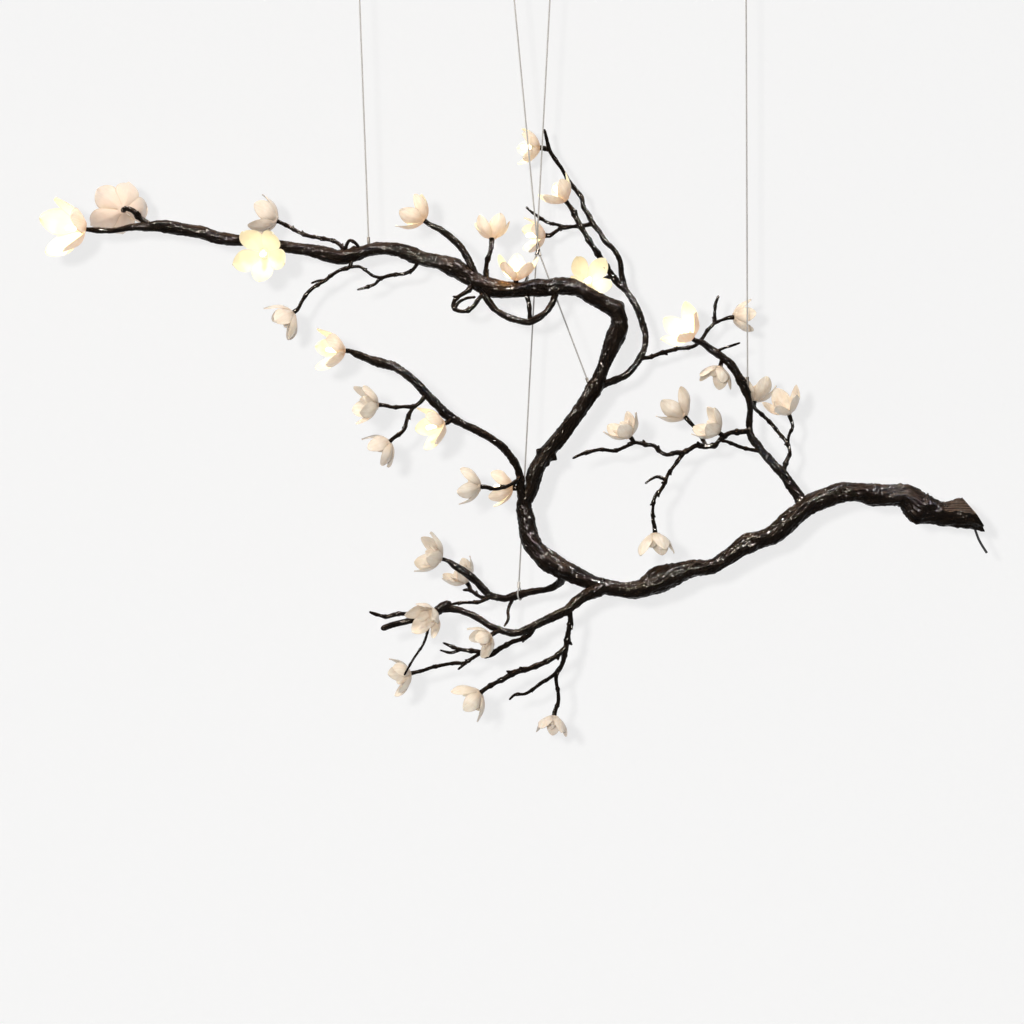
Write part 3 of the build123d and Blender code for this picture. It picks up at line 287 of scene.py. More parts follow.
    "lowest_twig": ("lower_twigs", 0, [
        (112, -69, -1276, 11), (116, -64, -1300, 10), (112, -61, -1324, 10), (108, -58, -1350, 10),
        (104, -56, -1370, 9), (98, -54, -1390, 9), (86, -52, -1406, 8), (72, -51, -1416, 7),
        (56, -50, -1426, 7), (40, -49, -1438, 6), (26, -48, -1446, 6), (6, -47, -1448, 6),
        (-6, -46, -1458, 4)]),
    "lowest_stem": ("lower_twigs", 34, [
        (88, -52, -1404, 7), (88, -50, -1422, 7), (92, -48, -1444, 7), (92, -46, -1462, 7)]),
    "lowest_fork": ("lower_twigs", 33, [
        (108, -58, -1352, 8), (88, -67, -1370, 10), (66, -72, -1382, 10), (36, -77, -1394, 10),
        (6, -80, -1402, 10), (-18, -81, -1416, 9), (-38, -81, -1426, 9)]),
}
blossomTable = {
    1: ((-854, -32, -520), (-0.77, -0.64, 0.03), 86, 0, True),
    2: ((-778, 2, -480), (-0.25, 0.93, 0.12), 84, 20, True),
    3: ((-470, 12, -502), (-0.9, 0.1, 0.35), 62, 10, False),
    4: ((-494, -18, -568), (-0.1, -0.97, -0.1), 80, 36, True),
    5: ((-436, -18, -686), (-0.75, -0.1, -0.65), 56, 0, False),
    6: ((-332, -82, -764), (-0.95, -0.3, 0.05), 64, 12, True),
    7: ((-266, -92, -872), (-0.95, -0.3, 0), 56, 30, False),
    8: ((-242, -90, -944), (-0.75, 0.15, -0.65), 52, 0, False),
    9: ((-136, -78, -908), (-0.85, -0.4, -0.25), 58, 15, True),
    10: ((-62, -70, -1034), (-0.97, 0.15, 0.05), 52, 36, False),
    11: ((2, -12, -1036), (-0.95, 0.15, 0.05), 52, 25, True),
    12: ((-174, -44, -504), (-0.8, 0.1, 0.6), 58, 36, True),
    13: ((-40, -60, -540), (0.05, 0.3, 0.95), 50, 10, True),
    14: ((66, 84, -526), (-0.95, -0.2, 0), 50, 0, True),
    15: ((8, -64, -622), (0.05, -0.3, 0.95), 58, 18, True),
    16: ((56, 108, -348), (-0.97, -0.1, 0.05), 52, 20, True),
    17: ((108, 64, -458), (-0.6, -0.15, 0.75), 52, 0, True),
    18: ((150, 66, -624), (0.15, -0.95, 0.2), 64, 30, True),
    19: ((358, -16, -734), (-0.55, -0.6, 0.55), 66, 0, True),
    20: ((446, 64, -692), (0.85, 0.3, 0.1), 46, 10, False),
    21: ((416, -4, -794), (-0.3, -0.2, -0.9), 46, 0, False),
    22: ((346, 2, -894), (-0.6, 0.3, 0.65), 58, 56, False),
    23: ((412, -38, -926), (-0.75, -0.2, 0.6), 54, 36, False),
    24: ((488, 58, -862), (0.1, 0.25, 0.95), 54, 15, False),
    25: ((554, 20, -886), (-0.35, -0.45, 0.8), 54, 36, False),
    26: ((234, -66, -934), (-0.6, -0.3, 0.75), 52, 30, False),
    27: ((284, -68, -1126), (0.05, -0.15, -0.98), 54, 0, False),
    28: ((-142, 70, -1178), (-0.93, -0.25, 0.3), 58, 46, False),
    29: ((-92, 128, -1226), (-0.55, -0.2, 0.8), 52, 0, False),
    30: ((-156, -112, -1282), (-0.6, -0.65, -0.45), 54, 61, False),
    31: ((-42, -96, -1328), (-0.8, -0.2, -0.5), 46, 0, False),
    32: ((-202, -36, -1406), (-0.95, -0.2, -0.2), 50, 10, False),
    33: ((-62, -85, -1442), (-0.75, 0.2, -0.6), 54, 36, False),
    34: ((84, -48, -1490), (-0.15, -0.2, -0.95), 44, 56, False),
}
# Blossoms of one spray share a node
sprays = ((3, 5), (7, 8), (20, 21), (22, 23), (24, 25), (26, 27), (28, 29), (30, 31), (32, 33, 34))
# Each trunk casting ends at the point of the trunk's route with this x, and the next one starts there
castingTable = {"trunk_butt": 656, "trunk_sweep": 252, "trunk_bowl": 24, "trunk_rise": 202, "trunk_arch": -24,
                "trunk_crest": -284, "trunk_reach": -664, "trunk_tip": None}


def noiseGroup():    # mask = noise of the given scale, stretched from low..high to 0..1
    group = bpy.data.node_groups.new("castMottle", "ShaderNodeTree")
    face = group.interface
    face.new_socket("Vector", in_out="INPUT", socket_type="NodeSocketVector")
    for label, value in (("Scale", 20.0), ("Low", 0.35), ("High", 0.65), ("Detail", 5.0)):
        face.new_socket(label, in_out="INPUT", socket_type="NodeSocketFloat").default_value = value
    face.new_socket("Mask", in_out="OUTPUT", socket_type="NodeSocketFloat")
    inside = group.nodes.new("NodeGroupInput")
    outside = group.nodes.new("NodeGroupOutput")
    noise = group.nodes.new("ShaderNodeTexNoise")
    noise.inputs["Roughness"].default_value = 0.62
    spread = group.nodes.new("ShaderNodeMapRange")
    group.links.new(inside.outputs["Vector"], noise.inputs["Vector"])
    for label in ("Scale", "Detail"):
        group.links.new(inside.outputs[label], noise.inputs[label])
    group.links.new(noise.outputs["Fac"], spread.inputs["Value"])
    group.links.new(inside.outputs["Low"], spread.inputs["From Min"])
    group.links.new(inside.outputs["High"], spread.inputs["From Max"])
    group.links.new(spread.outputs["Result"], outside.inputs["Mask"])
    return group


castMottle = noiseGroup()


class Shade:    # one material: its Principled shader and small helpers to wire masks into it

    def __init__(self, name, **fixed):
        self.material = bpy.data.materials.new(name)
        self.material.use_nodes = True
        self.tree = self.material.node_tree
        self.shader = self.tree.nodes["Principled BSDF"]
        for label, value in fixed.items():
            self.shader.inputs[label.replace("_", " ")].default_value = value

    def add(self, kind):
        return self.tree.nodes.new("ShaderNode" + kind)

    def wire(self, source, target):
        self.tree.links.new(source, self.shader.inputs[target] if isinstance(target, str) else target)

    def feed(self, value, socket):    # a constant goes straight onto the socket
        if isinstance(value, bpy.types.NodeSocket):
            self.wire(value, socket)
        else:
            socket.default_value = (*value, 1) if isinstance(value, tuple) else value

    def place(self, attribute=None, stretch=None):
        spot = self.mark(attribute, "Vector") if attribute else self.add("TexCoord").outputs["Object"]
        if stretch:
            mapping = self.add("Mapping")
            mapping.inputs["Scale"].default_value = stretch
            self.wire(spot, mapping.inputs["Vector"])
            spot = mapping.outputs["Vector"]
        return spot

    def mark(self, attribute, field):
        node = self.add("Attribute")
        node.attribute_name = attribute
        return node.outputs[field]

    def value(self, attribute):
        return self.mark(attribute, "Fac")

    def mottle(self, spot, scale, low, high, detail=5.0):
        node = self.add("Group")
        node.node_tree = castMottle
        self.wire(spot, node.inputs["Vector"])
        for label, value in (("Scale", scale), ("Low", low), ("High", high), ("Detail", detail)):
            node.inputs[label].default_value = value
        return node.outputs["Mask"]

    def math(self, operation, first, second):
        node = self.add("Math")
        node.operation = operation
        for socket, value in zip(node.inputs, (first, second)):
            self.feed(value, socket)
        return node.outputs["Value"]

    def times(self, first, second):
        return self.math("MULTIPLY", first, second)

    def plus(self, first, second):
        return self.math("ADD", first, second)

    def mix(self, mask, first, second):
        node = self.add("Mix")
        node.data_type = "RGBA"
        colours = [s for s in node.inputs if s.type == "RGBA"]
        self.wire(mask, node.inputs["Factor"])
        for socket, value in zip(colours, (first, second)):
            self.feed(value, socket)
        return next(s for s in node.outputs if s.type == "RGBA")

    def range(self, value, low, high):
        node = self.add("MapRange")
        node.inputs["To Min"].default_value = low
        node.inputs["To Max"].default_value = high
        self.wire(value, node.inputs["Value"])
        return node.outputs["Result"]

    def bump(self, height, strength, depth):
        node = self.add("Bump")
        node.inputs["Strength"].default_value = strength
        node.inputs["Distance"].default_value = depth
        self.wire(height, node.inputs["Height"])
        self.wire(node.outputs["Normal"], "Normal")


# Mottles: scale per metre, low and high end of the mask, and detail; the relief's depth is in metres
# The brown of rubbed patches and ridges is laid only on upward-facing bark: partly rubbed wear, partly
# painted top light
barkTone = {"deep": (0.0012, 0.0007, 0.0004), "dark": (0.011, 0.0066, 0.004), "worn": (0.078, 0.047, 0.03),
            "sawnDark": (0.02, 0.013, 0.009), "sawnPale": (0.12, 0.08, 0.055), "rings": 70,
            "limbDrawn": (1, 1, 0.28), "foldDrawn": (1, 1, 0.55), "ringDrawn": (0.18, 1, 1),
            "patch": (22, 0.36, 0.66), "grain": (210, 0.3, 0.7), "gloss": (150, 0.4, 0.64),
            "zone": (14, 0.42, 0.58), "wrinkle": (100, 0.3, 0.7, 1.0), "strand": (230, 0.3, 0.7, 0.5),
            "rough": (0.05, 0.1), "paintedTopLight": (-0.25, 1.2), "rubbedLitGrain": (0.35, 1.0), "ridgeWearLit": 0.3,
            "folded": (0.25, 1.0), "strandShare": 0.3, "bump": 0.8, "depth": 0.0036}


def bronzeBark():    # near-black patina, rubbed brown and painted top light on top and on ridges, wet-looking grain along the limb
    shade = Shade("bronzeBark", Metallic=0.02, Specular_IOR_Level=0.025, Coat_Weight=0.025,
                  Coat_Roughness=0.06)
    tone = barkTone
    limb = shade.place("barkSpace", tone["limbDrawn"])
    patches = shade.mottle(shade.place(), *tone["patch"])
    grain = shade.mottle(limb, *tone["grain"])
    normal = shade.add("NewGeometry")
    split = shade.add("SeparateXYZ")
    shade.wire(normal.outputs["Normal"], split.inputs["Vector"])
    # painted top light: the rubbed brown is laid only where the bark faces up, where light from above falls
    topLightMask = shade.range(split.outputs["Z"], *tone["paintedTopLight"])
    rubbedAndTopLit = shade.times(shade.times(patches, topLightMask), shade.range(grain, *tone["rubbedLitGrain"]))
    ridgeWearTopLit = shade.times(shade.times(shade.value("ridge"), topLightMask), tone["ridgeWearLit"])
    worn = shade.plus(rubbedAndTopLit, ridgeWearTopLit)
    dark = shade.mix(grain, tone["deep"], tone["dark"])
    colour = shade.mix(worn, dark, tone["worn"])
    wave = shade.add("TexWave")
    wave.bands_direction = "Z"
    wave.inputs["Scale"].default_value = tone["rings"]
    wave.inputs["Distortion"].default_value = 5
    wave.inputs["Detail Scale"].default_value = 1.2
    shade.wire(shade.place(None, tone["ringDrawn"]), wave.inputs["Vector"])
    cutWood = shade.mix(wave.outputs["Fac"], tone["sawnDark"], tone["sawnPale"])
    shade.wire(shade.mix(shade.value("sawn"), colour, cutWood), "Base Color")
    gloss = shade.mottle(shade.place(), *tone["gloss"])
    shade.wire(shade.range(gloss, *tone["rough"]), "Roughness")
    zones = shade.mottle(shade.place(), *tone["zone"])
    wrinkles = shade.mottle(shade.place("barkSpace", tone["foldDrawn"]), *tone["wrinkle"])
    strands = shade.mottle(limb, *tone["strand"])
    folds = shade.times(wrinkles, shade.range(zones, *tone["folded"]))
    shade.bump(shade.plus(shade.times(strands, tone["strandShare"]), folds), tone["bump"], tone["depth"])
    return shade.material


# Painted shade: the hub colour darkens the foot of the petals and the grey darkens shaded blossoms; the warm
# inside and glow colours of lit cups are painted lamp light
porcelainTone = {"shade": (0.81, 0.7, 0.57), "light": (0.91, 0.84, 0.74), "hub": (0.55, 0.41, 0.29),
                 "lampLitInside": (0.86, 0.78, 0.6), "vein": (0.66, 0.53, 0.4), "rim": (0.42, 0.28, 0.17),
                 "dusk": (0.56, 0.49, 0.45), "glowBack": ((0.4, 0.17, 0.04), (0.2, 0.1, 0.03)),
                 "glowWithin": ((1.1, 0.93, 0.55), (0.42, 0.33, 0.09)), "glowRim": (0.05, 0.025, 0.008),
                 "cloud": (55, 0.35, 0.7), "veins": (420, 0.42, 0.66), "veinShare": 0.42, "rimShare": 0.8,
                 "hubShadeReach": (0.25, 1.6), "veinDrawn": (1, 0.1, 1), "bump": 0.2, "depth": 0.0006}


def porcelain(name, glows):    # glazed bisque, veined along the petal, with painted shade making it darker and warmer towards the hub; lit cups get a painted glow
    shade = Shade(name, Specular_IOR_Level=0.35, Roughness=0.3, Coat_Weight=0.2, Coat_Roughness=0.12,
                  Subsurface_Weight=0.1, Subsurface_Scale=0.004, Subsurface_Radius=(1.0, 0.62, 0.38))
    tone = porcelainTone
    along = shade.value("petalAlong")
    inner = shade.value("petalInside")
    cloud = shade.mottle(shade.place(), *tone["cloud"])
    veins = shade.mottle(shade.place("petalSpace", tone["veinDrawn"]), *tone["veins"])
    pale = shade.mix(cloud, tone["shade"], tone["light"])
    pale = shade.mix(shade.times(veins, tone["veinShare"]), pale, tone["vein"])
    # painted shade: the petals darken and brown towards the hub, where the cup closes in
    glazeAndPaintedLight = shade.mix(shade.range(along, *tone["hubShadeReach"]), tone["hub"], pale)
    # painted shade: some whole blossoms are darkened towards a dusky grey
    glazeAndPaintedLight = shade.mix(shade.value("petalPaintedShade"), glazeAndPaintedLight, tone["dusk"])
    edge = shade.value("petalRim")
    glazeAndPaintedLight = shade.mix(shade.times(edge, tone["rimShare"]), glazeAndPaintedLight, tone["rim"])
    if glows:
        # painted light: inside a lit cup the base colour is warmed as if lit by the lamp, and the petals'
        # emission is a painted glow of lamp light through the porcelain
        glazeAndPaintedLight = shade.mix(inner, glazeAndPaintedLight, tone["lampLitInside"])
        outside = shade.mix(along, *tone["glowBack"])
        within = shade.mix(along, *tone["glowWithin"])
        glow = shade.mix(edge, shade.mix(inner, outside, within), tone["glowRim"])
        shade.wire(shade.mix(shade.value("petalGlow"), (0.0, 0.0, 0.0), glow), "Emission Color")
        shade.shader.inputs["Emission Strength"].default_value = 1.0
    shade.wire(glazeAndPaintedLight, "Base Color")
    shade.bump(veins, tone["bump"], tone["depth"])
    return shade.material


# Streaks of drawn or turned metal, and the fine grain of moulded plastic or rubber
metalGrain = {"stretch": (1, 1, 0.25), "mottle": (380, 0.3, 0.7), "rougher": 0.15, "bump": 0.15,
              "depth": 0.0003}
plasticGrain = {"stretch": None, "mottle": (600, 0.3, 0.7), "rougher": 0.12, "bump": 0.2, "depth": 0.0002}


def grained(name, grain, dark, light, rough, metallic=0.0):
    shade = Shade(name, Metallic=metallic)
    streak = shade.mottle(shade.place(None, grain["stretch"]), *grain["mottle"])
    shade.wire(shade.mix(streak, dark, light), "Base Color")
    shade.wire(shade.range(streak, rough, rough + grain["rougher"]), "Roughness")
    shade.bump(streak, grain["bump"], grain["depth"])
    return shade.material


lampTone = {"frost": (300, 0.2, 0.8), "glass": ((0.95, 0.88, 0.72), (1.0, 0.95, 0.85)),
            "light": ((1.0, 0.8, 0.5), (1.0, 0.87, 0.62)), "strength": 4.2}


def lampGlow():
    shade = Shade("lampGlow", Roughness=0.3, Emission_Strength=lampTone["strength"])
    frost = shade.mottle(shade.place(), *lampTone["frost"])
    shade.wire(shade.mix(frost, *lampTone["glass"]), "Base Color")
    shade.wire(shade.mix(frost, *lampTone["light"]), "Emission Color")
    return shade.material


finish = {
    "bark": bronzeBark(),
    "petal": porcelain("porcelainPlain", False),
    "litPetal": porcelain("porcelainLit", True),
    "cable": grained("cableSteel", metalGrain, (0.34, 0.33, 0.32), (0.47, 0.46, 0.445), 0.5, 0.2),
    "darkSteel": grained("blackSteel", metalGrain, (0.02, 0.018, 0.016), (0.05, 0.045, 0.04), 0.35, 0.8),
    "cupSteel": grained("cupSteel", metalGrain, (0.42, 0.41, 0.4), (0.56, 0.55, 0.53), 0.3, 0.9),
    "lead": grained("blackLead", plasticGrain, (0.008, 0.008, 0.008), (0.02, 0.02, 0.02), 0.5),
    "holder": grained("bisqueHolder", plasticGrain, (0.66, 0.6, 0.5), (0.78, 0.72, 0.62), 0.55),
    "wire": grained("wireJacket", plasticGrain, (0.02, 0.02, 0.02), (0.04, 0.04, 0.04), 0.4),
    "lamp": lampGlow(),
}
print("finishes mixed:", len(finish))


def gridFaces(rows, columns, first=0):    # quads of a grid whose columns close on themselves
    row = np.arange(rows - 1)[:, None] * columns
    column = np.arange(columns)[None, :]
    after = (column + 1) % columns
    quads = np.stack([row + column, row + after, row + columns + after, row + columns + column], axis=-1)
    return quads.reshape(-1, 4) + first


def capFaces(ring, centre, outward):    # a fan from a closed ring to its middle point
    following = np.roll(ring, -1)
    middle = np.full(len(ring), centre)
    return np.stack([ring, following, middle] if outward else [following, ring, middle], axis=-1)


def newPiece(node, ending, tubes, material, crease=50):    # one mesh of closed tubes in place of a node
    name = node + ending
    points, quads, triangles = (np.vstack(part) for part in list(zip(*tubes))[:3])
    marks = {label: np.concatenate([tube[3][label] for tube in tubes]) for label in tubes[0][3]}
    mesh = bpy.data.meshes.new(name)
    mesh.vertices.add(len(points))
    mesh.vertices.foreach_set("co", (np.asarray(points) * mm).astype(np.float32).ravel())
    corners = np.concatenate([quads.ravel(), triangles.ravel()]).astype(np.int32)
    sizes = np.concatenate([np.full(len(quads), 4), np.full(len(triangles), 3)]).astype(np.int32)
    mesh.loops.add(len(corners))
    mesh.loops.foreach_set("vertex_index", corners)
    mesh.polygons.add(len(sizes))
    mesh.polygons.foreach_set("loop_start", np.concatenate([[0], np.cumsum(sizes)[:-1]]).astype(np.int32))
    mesh.polygons.foreach_set("loop_total", sizes)
    mesh.polygons.foreach_set("use_smooth", np.ones(len(sizes), bool))
    for label, values in marks.items():
        values = np.asarray(values, np.float32)
        kind, field = ("FLOAT_VECTOR", "vector") if values.ndim == 2 else ("FLOAT", "value")
        mesh.attributes.new(label, kind, "POINT").data.foreach_set(field, values.ravel())
    mesh.update(calc_edges=True)
    mesh.validate()
    mesh.set_sharp_from_angle(angle=math.radians(crease))
    mesh.materials.append(material)
    piece = bpy.data.objects.new(name, mesh)
    scene.collection.objects.link(piece)
    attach(piece, "chandelier")
    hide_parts(node)
    return piece


latticePrimes = (73856093, 19349663, 83492791, 2654435, 1274126177)


def latticeNoise(points, seed):    # value noise in -1..1: random corner values blended with 3t^2 - 2t^3
    cell = np.floor(points).astype(np.int64)
    part = points - cell
    part = part * part * (3 - 2 * part)
    total = 0
    first, second, third, seeded, spread = latticePrimes
    for corner in np.ndindex(2, 2, 2):
        spot = cell + corner
        mixed = spot[..., 0] * first ^ spot[..., 1] * second ^ spot[..., 2] * third ^ seed * seeded
        mixed = (mixed ^ (mixed >> 13)) * spread
        value = ((mixed ^ (mixed >> 16)) & 0xFFFF) / 32767.5 - 1
        weight = np.prod(np.where(np.array(corner) == 1, part, 1 - part), axis=-1)
        total = total + value * weight
    return total


def smoothRoute(route, spacing, stops=None):    # cubic through the route points, slopes from both neighbours
    points = np.array(route, float)
    reach = np.concatenate([[0], np.cumsum(np.linalg.norm(np.diff(points[:, :3], axis=0), axis=1))])
    step = np.diff(reach)
    slope = np.diff(points, axis=0) / step[:, None]
    tangent = np.vstack([slope[:1], (slope[:-1] * step[1:, None] + slope[1:] * step[:-1, None])
                         / (step[1:] + step[:-1])[:, None], slope[-1:]])
    marks = reach[[0, len(reach) - 1] if stops is None else stops]
    pieces = [np.linspace(a, b, max(int((b - a) / spacing), 3) + 1)[:-1] for a, b in zip(marks, marks[1:])]
    at = np.concatenate(pieces + [marks[-1:]])
    left = np.clip(np.searchsorted(reach, at, "right") - 1, 0, len(step) - 1)
    t = ((at - reach[left]) / step[left])[:, None]
    h = step[left][:, None]
    run = ((2 * t ** 3 - 3 * t ** 2 + 1) * points[left] + (t ** 3 - 2 * t ** 2 + t) * h * tangent[left]
           + (3 * t ** 2 - 2 * t ** 3) * points[left + 1] + (t ** 3 - t ** 2) * h * tangent[left + 1])
    rows = np.searchsorted(at, marks)
    return run[:, :3] + hang, run[:, 3] / 2, at, rows


def unit(vector):
    return np.array(vector, float) / np.linalg.norm(vector)


def carriedFrames(centres):    # tangents, and sides carried along the line without twist
    tangents = np.gradient(centres, axis=0)
    tangents /= np.linalg.norm(tangents, axis=1)[:, None]
    side = np.array((0, 1.0, 0)) if abs(tangents[0, 1]) < 0.8 else np.array((1.0, 0, 0))
    sides = np.empty_like(tangents)
    for i, along in enumerate(tangents):
        side = unit(side - along * (side @ along))
        sides[i] = side
    return tangents, sides, np.cross(tangents, sides)


# How far each kind of relief is drawn out along the limb, and its step of the seed
barkDrawn = {"lump": (2.2, 0), "ridge": (2.6, 7), "grain": (3, 13), "dimple": (1, 19)}


def barkSurface(centres, radii, along, look, seed):
    # r(s, a) = r0(s) (1 + lumps + ridges + grain + dimples), noise drawn out along the limb and twisted
    tangents, sides, ups = carriedFrames(centres)
    angle = np.linspace(0, 2 * np.pi, look["columns"], endpoint=False)[None, :]
    turned = angle + along[:, None] * look["twist"]
    thick = radii[:, None]
    reach = np.broadcast_to(along[:, None], turned.shape)
    space = np.stack([thick * np.cos(turned), thick * np.sin(turned), reach], -1)
    lumps, ridge, grain, dimple = (latticeNoise(space / (look[kind] * np.array((1, 1, drawn))), seed + step)
                                   for kind, (drawn, step) in barkDrawn.items())
    ridge = 1 - 2 * np.abs(ridge)
    relief = look["lumpHeight"] * lumps + look["ridgeHeight"] * ridge + look["grainHeight"] * grain
    relief = relief + look["dimpleHeight"] * dimple
    outward = np.cos(angle)[..., None] * sides[:, None] + np.sin(angle)[..., None] * ups[:, None]
    points = centres[:, None] + outward * (thick * (1 + relief))[..., None]
    return points, outward, space, np.clip(ridge * 0.5 + lumps * 0.5, 0, 1)


# Bark of each kind of limb: sizes in millimetres, heights as shares of the radius, twist in radians per mm
barkKeys = ("spacing", "columns", "twist", "lump", "lumpHeight", "ridge", "ridgeHeight", "grain",
            "grainHeight", "dimple", "dimpleHeight")
barkLook = {kind: dict(zip(barkKeys, values)) for kind, values in {
    "trunk": (1.7, 84, 0.006, 14.0, 0.17, 6.5, 0.065, 2.4, 0.014, 5.0, 0.065),
    "bough": (1.8, 36, 0.012, 6.5, 0.15, 3.4, 0.1, 1.6, 0.02, 3.6, 0.09),
    "twig": (1.8, 20, 0.02, 4.5, 0.18, 2.2, 0.09, 1.3, 0.04, 2.4, 0.05),
    "bud": (0.8, 12, 0.02, 3.0, 0.12, 2.2, 0.06, 1.3, 0.04, 2.4, 0.03)}.items()}
# Knots on the trunk: place on the photographed outline, height and width in millimetres
trunkKnots = [((82, -12, -974), 9, 7), ((78, -12, -992), 7, 6), ((56, -12, -964), 8, 6),
              ((216, -24, -670), 8, 12), ((158, -14, -954), 6, 6), ((274, -49, -1058), 6, 7),
              ((288, -50, -1210), 8, 16), ((-328, 0, -544), 8, 9), ((-316, 0, -552), 6, 8),
              ((-78, -60, -688), 5, 7), ((-248, -82, -782), 5, 7), ((806, -14, -1096), 12, 16),
              ((760, -20, -1070), 6, 14), ((716, -24, -1072), 5, 12), ((676, -28, -1066), 6, 10),
              ((470, -54, -1164), 7, 14), ((330, -60, -1216), 7, 12), ((100, -60, -1206), 6, 10),
              ((40, -10, -1098), 5, 8)]
# The butt: the saw cut leans back going up, and a split facet lies on its upper front
buttCut = {"lean": -0.64, "middle": -1086.0, "reach": 62.0, "bevel": 0.94, "facetDepth": 19.0,
           "facetNormal": (0.05, -0.6, 0.8), "facetFrom": 858.0, "facetBlend": 14.0, "facetEdge": 1.5,
           "seed": 3}


def closedTube(points, first):    # a grid of rings with a middle point at each end
    rows, columns = points.shape[:2]
    flat = np.vstack([points.reshape(-1, 3), points[0].mean(0), points[-1].mean(0)])
    start = capFaces(np.arange(columns), rows * columns, False)
    end = capFaces(np.arange(columns) + (rows - 1) * columns, rows * columns + 1, True)
    return flat, gridFaces(rows, columns, first), np.vstack([start, end]) + first


def paddedMark(values, start, end):
    return np.concatenate([values.reshape(-1), [start, end]])


def paddedSpace(space):    # in metres; the middle points take the place of the first and the last point
    space = space.reshape(-1, 3)
    return np.vstack([space, space[:1], space[-1:]]) * mm


def flowerFrame(number):    # middle of a blossom's back, the way it faces, and the sides of its first petal
    base, axis, _, turn, _ = blossomTable[number]
    facing = unit(axis)
    up = np.array((0, 0, 1.0)) if abs(facing[2]) < 0.8 else np.array((1.0, 0, 0))
    side = unit(up - facing * (up @ facing))
    angle = math.radians(turn)
    first = side * math.cos(angle) + np.cross(facing, side) * math.sin(angle)
    return np.array(base, float) + hang, facing, first, np.cross(facing, first)


stemEnd = {"neck": 10, "litThick": 9, "plainThick": 8, "widens": 1}


def stemRoute(flower, route):    # the last millimetres of a stem run square into the blossom's hub
    if not flower:
        return route
    base, axis, _, _, lit = blossomTable[flower]
    thick = stemEnd["litThick"] if lit else stemEnd["plainThick"]
    neck = np.array(base) - unit(axis) * stemEnd["neck"]
    return route + [(*neck, thick), (*base, thick + stemEnd["widens"])]


def buildTrunk():
    look = barkLook["trunk"]
    route = stemRoute(1, trunkRoute)
    xs = [round(p[0]) for p in route]
    stops = [0]
    for endX in castingTable.values():
        stops.append(len(route) - 1 if endX is None else xs.index(endX, stops[-1] + 1))
    centres, radii, along, rows = smoothRoute(route, look["spacing"], stops)
    points, outward, space, ridge = barkSurface(centres, radii, along, look, buttCut["seed"])
    for spot, height, width in trunkKnots:
        away = np.linalg.norm(points - (np.array(spot) + hang), axis=-1)
        points = points + outward * (height * np.exp(-(away / width) ** 2))[..., None]
    # the butt: a flat split facet on top, and a slanted saw cut
    tilt = unit(buttCut["facetNormal"])
    above = (points - centres[:, None]) @ tilt - buttCut["facetDepth"]
    near = np.clip((centres[:, :1] - buttCut["facetFrom"]) / buttCut["facetBlend"], 0, 1)
    trim = np.clip(above, 0, None) * near
    points = points - tilt * trim[..., None]
    fade = np.clip(1 - along / buttCut["reach"], 0, 1)[:, None]
    points[..., 0] += buttCut["lean"] * (points[..., 2] - buttCut["middle"]) * fade
    sawn = np.clip(trim / buttCut["facetEdge"], 0, 1)
    # the cut face begins with a ring just inside the bark
    middle = points[:1].mean(1, keepdims=True)
    points = np.concatenate([middle + (points[:1] - middle) * buttCut["bevel"], points])
    space, ridge = np.concatenate([space[:1], space]), np.concatenate([ridge[:1] * 0, ridge])
    sawn = np.concatenate([np.ones_like(sawn[:1]), sawn])
    rows = np.concatenate([[0], rows[1:] + 1])
    for k, name in enumerate(castingTable):
        part = slice(rows[k], rows[k + 1] + 1)
        marks = {"barkSpace": paddedSpace(space[part]), "ridge": paddedMark(ridge[part], 0, 0),
                 "sawn": paddedMark(sawn[part], 1 if k == 0 else 0, 0)}
        newPiece(name, "_bark", [(*closedTube(points[part], 0), marks)], finish["bark"])


tipLook = {"noseShare": 1.3, "noseLeast": 2.5, "most": 0.97}


def roundedTip(points, centres, length):    # a free end drawn in to a blunt point: r = r0 sqrt(1 - t^2)
    nose = max(np.linalg.norm(points[-1, 0] - centres[-1]) * tipLook["noseShare"], tipLook["noseLeast"])
    t = np.clip(1 - (length[-1] - length) / nose, 0, tipLook["most"])
    shrink = np.sqrt(1 - t ** 2)
    return centres[:, None] + (points - centres[:, None]) * shrink[:, None, None]


# Small curls and sleeves on the limbs, cast together with the twigs beside them
curlTable = {
    "crest_strand": ("arch_twigs", 0, [
        (-112, -71, -676, 6), (-106, -74, -668, 6), (-94, -76, -661, 6), (-72, -72, -657, 5)]),
    "reach_loop": ("reach_twigs", 0, [
        (-332, 3, -566, 7), (-331, -2, -551, 6), (-324, -5, -541, 6), (-315, -4, -545, 6),
        (-304, -2, -557, 6)]),
    "bough_sleeve": ("lower_twigs", 0, [
        (-122, -92, -1266, 8), (-132, -97, -1268, 14), (-144, -98, -1276, 15), (-152, -95, -1284, 9)]),
    "crest_stub": ("upper_twigs", 0, [(120, 87, -508, 6), (106, 84, -512, 6), (92, 81, -511, 5)]),
}
# Buds: the steps are shares of a bud's length and thickness, pitch and ends are in millimetres
budLook = {"pitch": (20.0, 38.0), "swell": 0.3, "lean": 0.75, "length": 1.15, "lengthDraw": (0.7, 1.3),
           "thickness": 0.62, "steps": ((0.0, 1), (0.55, 1.12), (0.85, 0.85), (1.15, 0.4)), "bareEnd": 26,
           "swellEnd": 14, "swellFade": 8}
# Twigs up to twigMost thick carry buds; a limb thicker than boughLeast has a bough's bark
limbLook = {"twigMost": 11, "boughLeast": 10, "fewestPoints": 5, "flare": 0.35, "flareReach": 2.2,
            "barkSeed": 20, "nodeSeed": 700, "budIndex": 900}


